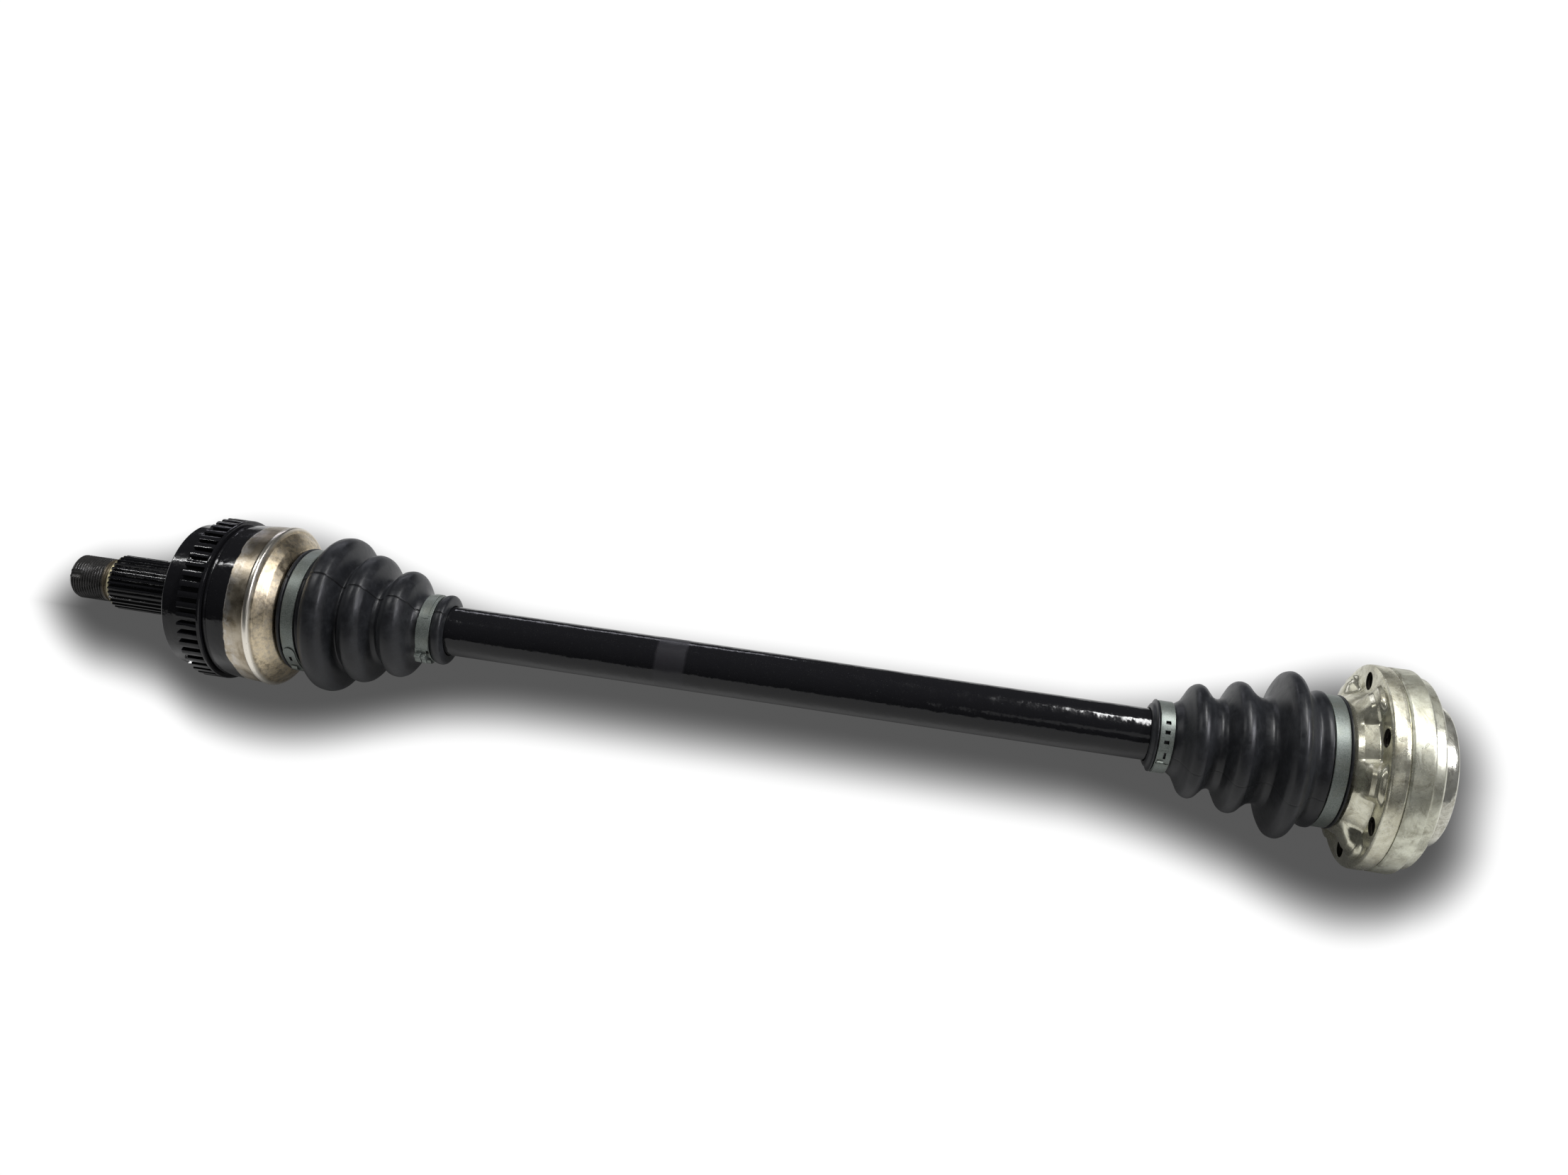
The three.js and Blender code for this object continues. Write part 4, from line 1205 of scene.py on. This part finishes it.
# The shadow is drawn on the plane through the axle that faces the camera in Y and Z.
PLANE_DEPTH = 0.66839                   # from the camera to that plane
DEPTH_BY_Y, DEPTH_AT_0 = 0.81211, 0.69838       # depth of a floor point, from its y
HEIGHT_BY_Y, HEIGHT_AT_0 = 0.58351, -0.09006    # its height in the view, from its y
CAMERA_HEIGHT = 0.04832                 # the camera's own height over the plane's origin
SHADOW_DROP, SHADOW_X, SHADOW_HALF_LENGTH, SHADOW_CORNER = 0.0175, 0.0020, 0.3750, 0.030
# half width of the shadow in mm: (x, half width)
SHADOW_WIDTHS = [(-385, 12), (-345, 17), (-312, 22), (-286, 40), (-250, 46), (-215, 42),
                 (-180, 30), (-145, 19), (-105, 13.3), (-40, 13.3), (190, 13.3), (235, 22),
                 (275, 34), (305, 47), (335, 53), (365, 42)]
WIDTHS_SPAN, WIDTHS_TOP = 900, 60       # mm covered by the ramp's length and by its white
SHADOW_STRENGTH, DISPLAY_GAMMA = 0.667 / 1.055, 2.4


def shadow_light(g):
    """Brightness of the floor, with a broad soft shadow low behind the axle in the view."""
    position = g.node("NewGeometry").outputs["Position"]
    floor_x, floor_y, _ = g.split(position)
    depth = g.greater(g.times_plus(floor_y, DEPTH_BY_Y, DEPTH_AT_0), 0.05)
    scale = g.math("DIVIDE", PLANE_DEPTH, depth)
    x = g.times_plus(g.minus(floor_x, CAMERA_AT[0]), scale, CAMERA_AT[0])
    height = g.times_plus(g.times_plus(floor_y, HEIGHT_BY_Y, HEIGHT_AT_0), scale, CAMERA_HEIGHT)
    ramp = g.node("ValToRGB")
    ramp.color_ramp.interpolation = "B_SPLINE"
    stops = ramp.color_ramp.elements
    for k, (station, width) in enumerate(SHADOW_WIDTHS):
        place = (station + WIDTHS_SPAN / 2) / WIDTHS_SPAN
        stop = stops[k] if k < 2 else stops.new(place)    # a new ramp has two stops
        stop.position = place
        stop.color = (*[width / WIDTHS_TOP] * 3, 1)
    g.put(ramp.inputs[0], g.times_plus(x, 1 / (WIDTHS_SPAN * MM), 0.5))
    # distance outside a shape with rounded corners
    across = g.minus(g.math("ABSOLUTE", g.plus(height, SHADOW_DROP)),
                     g.times(ramp.outputs[0], WIDTHS_TOP * MM))
    along = g.minus(g.math("ABSOLUTE", g.minus(x, SHADOW_X)), SHADOW_HALF_LENGTH)
    across, along = (g.greater(g.plus(q, SHADOW_CORNER), 0.0) for q in (across, along))
    outside = g.minus(g.hypot(across, along), SHADOW_CORNER)
    dark = g.fade(outside, span=(0.027, -0.010), smooth=True)
    return g.math("POWER", g.times_plus(dark, -SHADOW_STRENGTH, 1.0), DISPLAY_GAMMA)


def floor_material():
    """Glows with the shadow for the camera and in reflections, and is matt for other rays."""
    g = Shader("pale_floor")
    light = shadow_light(g)
    rays = g.node("LightPath")
    surface = g.principled.outputs[0]
    for ray, strength in (("Is Glossy Ray", 0.80), ("Is Camera Ray", 1.02)):
        glow = g.node("Emission")
        g.put(glow.inputs["Strength"], g.times(light, strength))
        choice = g.node("MixShader")
        for socket, q in zip(choice.inputs, (rays.outputs[ray], surface, glow.outputs[0])):
            g.put(socket, q)
        surface = choice.outputs[0]
    g.put(g.output.inputs[0], surface)
    colour = g.mix(g.noise(scale=3.0), (0.60, 0.60, 0.60), (0.64, 0.64, 0.64))
    return g.set(base=colour, rough=0.8, spec=0.0)


bpy.ops.mesh.primitive_grid_add(x_subdivisions=40, y_subdivisions=40, size=9.0,
                                location=(0, 0, -51.4 * MM))
floor = bpy.context.object
floor.name = "studio_floor"
floor.data.materials.append(floor_material())

# ------------------------------------------------------------------ world
# background strength by kind of ray
WORLD_DIFFUSE, WORLD_GLOSSY, WORLD_CAMERA = 0.11, 0.035, 1.05
world = bpy.data.worlds.new("studio")
bpy.context.scene.world = world
world.use_nodes = True
tree = world.node_tree
background = tree.nodes["Background"]
background.inputs["Color"].default_value = (0.97, 0.985, 1.0, 1)
rays = tree.nodes.new("ShaderNodeLightPath")
by_glossy, by_camera = (tree.nodes.new("ShaderNodeMix") for _ in range(2))
for choice, ray, strength in ((by_glossy, "Is Glossy Ray", WORLD_GLOSSY),
                              (by_camera, "Is Camera Ray", WORLD_CAMERA)):
    choice.data_type = "FLOAT"
    choice.inputs[3].default_value = strength
    tree.links.new(rays.outputs[ray], choice.inputs[0])
by_glossy.inputs[2].default_value = WORLD_DIFFUSE
tree.links.new(by_glossy.outputs[0], by_camera.inputs[2])
tree.links.new(by_camera.outputs[0], background.inputs["Strength"])

# ------------------------------------------------------------------ lights (metres, watts)
skip_floor = bpy.data.collections.new("lights_that_skip_the_floor")
skip_floor.objects.link(floor)
skip_floor.collection_objects[0].light_linking.link_state = "EXCLUDE"
only_plated = bpy.data.collections.new("plated_pieces")
for piece in (can, ring, cap):
    only_plated.objects.link(piece)


def area(name, at, aim, size, power, glossy=True, color=(1, 1, 1), receivers=skip_floor):
    light = bpy.data.lights.new(name, "AREA")
    light.shape, light.energy, light.color = "RECTANGLE", power, color
    light.size, light.size_y = size
    ob = bpy.data.objects.new(name, light)
    ob.location = at
    ob.rotation_euler = (Vector(aim) - Vector(at)).to_track_quat("-Z", "Y").to_euler()
    ob.visible_glossy = glossy
    bpy.context.scene.collection.objects.link(ob)
    if receivers:
        ob.light_linking.receiver_collection = receivers


area("overhead_right", at=(0.46, 0.06, 1.05), aim=(0.28, 0, 0), size=(0.50, 0.12), power=7.5)
for name, x, z in (("overhead_left_a", -0.83, 0.95), ("overhead_left_b", -0.77, 0.97)):
    area(name, at=(x, 0.00, z), aim=(-0.25, 0, 0), size=(0.022, 0.36), power=1.0)
area("overhead_main", at=(-0.05, 0.45, 1.45), aim=(0, 0, 0), size=(1.2, 0.7), power=19,
     glossy=False, receivers=None)
area("right_soft", at=(1.05, -0.15, 0.75), aim=(0.15, 0, 0.03), size=(0.32, 0.32), power=7.0,
     color=(0.93, 0.93, 1.0))
area("back_strip", at=(-0.55, 1.15, 0.55), aim=(-0.2, 0, 0), size=(0.9, 0.14), power=1.4,
     color=(0.90, 0.90, 1.0))
area("front_soft", at=(0.60, -1.35, 0.80), aim=(0.2, 0, 0), size=(0.8, 0.35), power=0.5)
area("plate_softbox", at=(0.32, 0.50, 1.05), aim=(0.32, 0.50, 0.0), size=(1.5, 1.5), power=5.0,
     receivers=only_plated)

# ------------------------------------------------------------------ camera
CAMERA_RIGHT = (0.983804, 0.172944, 0.047111)
CAMERA_UP = (-0.138265, 0.564934, 0.81347)
CAMERA_BACK = (0.11407, -0.806809, 0.579696)
lens = bpy.data.cameras.new("camera")
lens.lens, lens.sensor_width, lens.clip_start = 29.295, 36.0, 0.01
camera = bpy.data.objects.new("camera", lens)
bpy.context.scene.collection.objects.link(camera)
camera.matrix_world = Matrix((*zip(CAMERA_RIGHT, CAMERA_UP, CAMERA_BACK, CAMERA_AT),
                              (0, 0, 0, 1)))
bpy.context.scene.camera = camera
bpy.context.scene.view_settings.view_transform = "Standard"
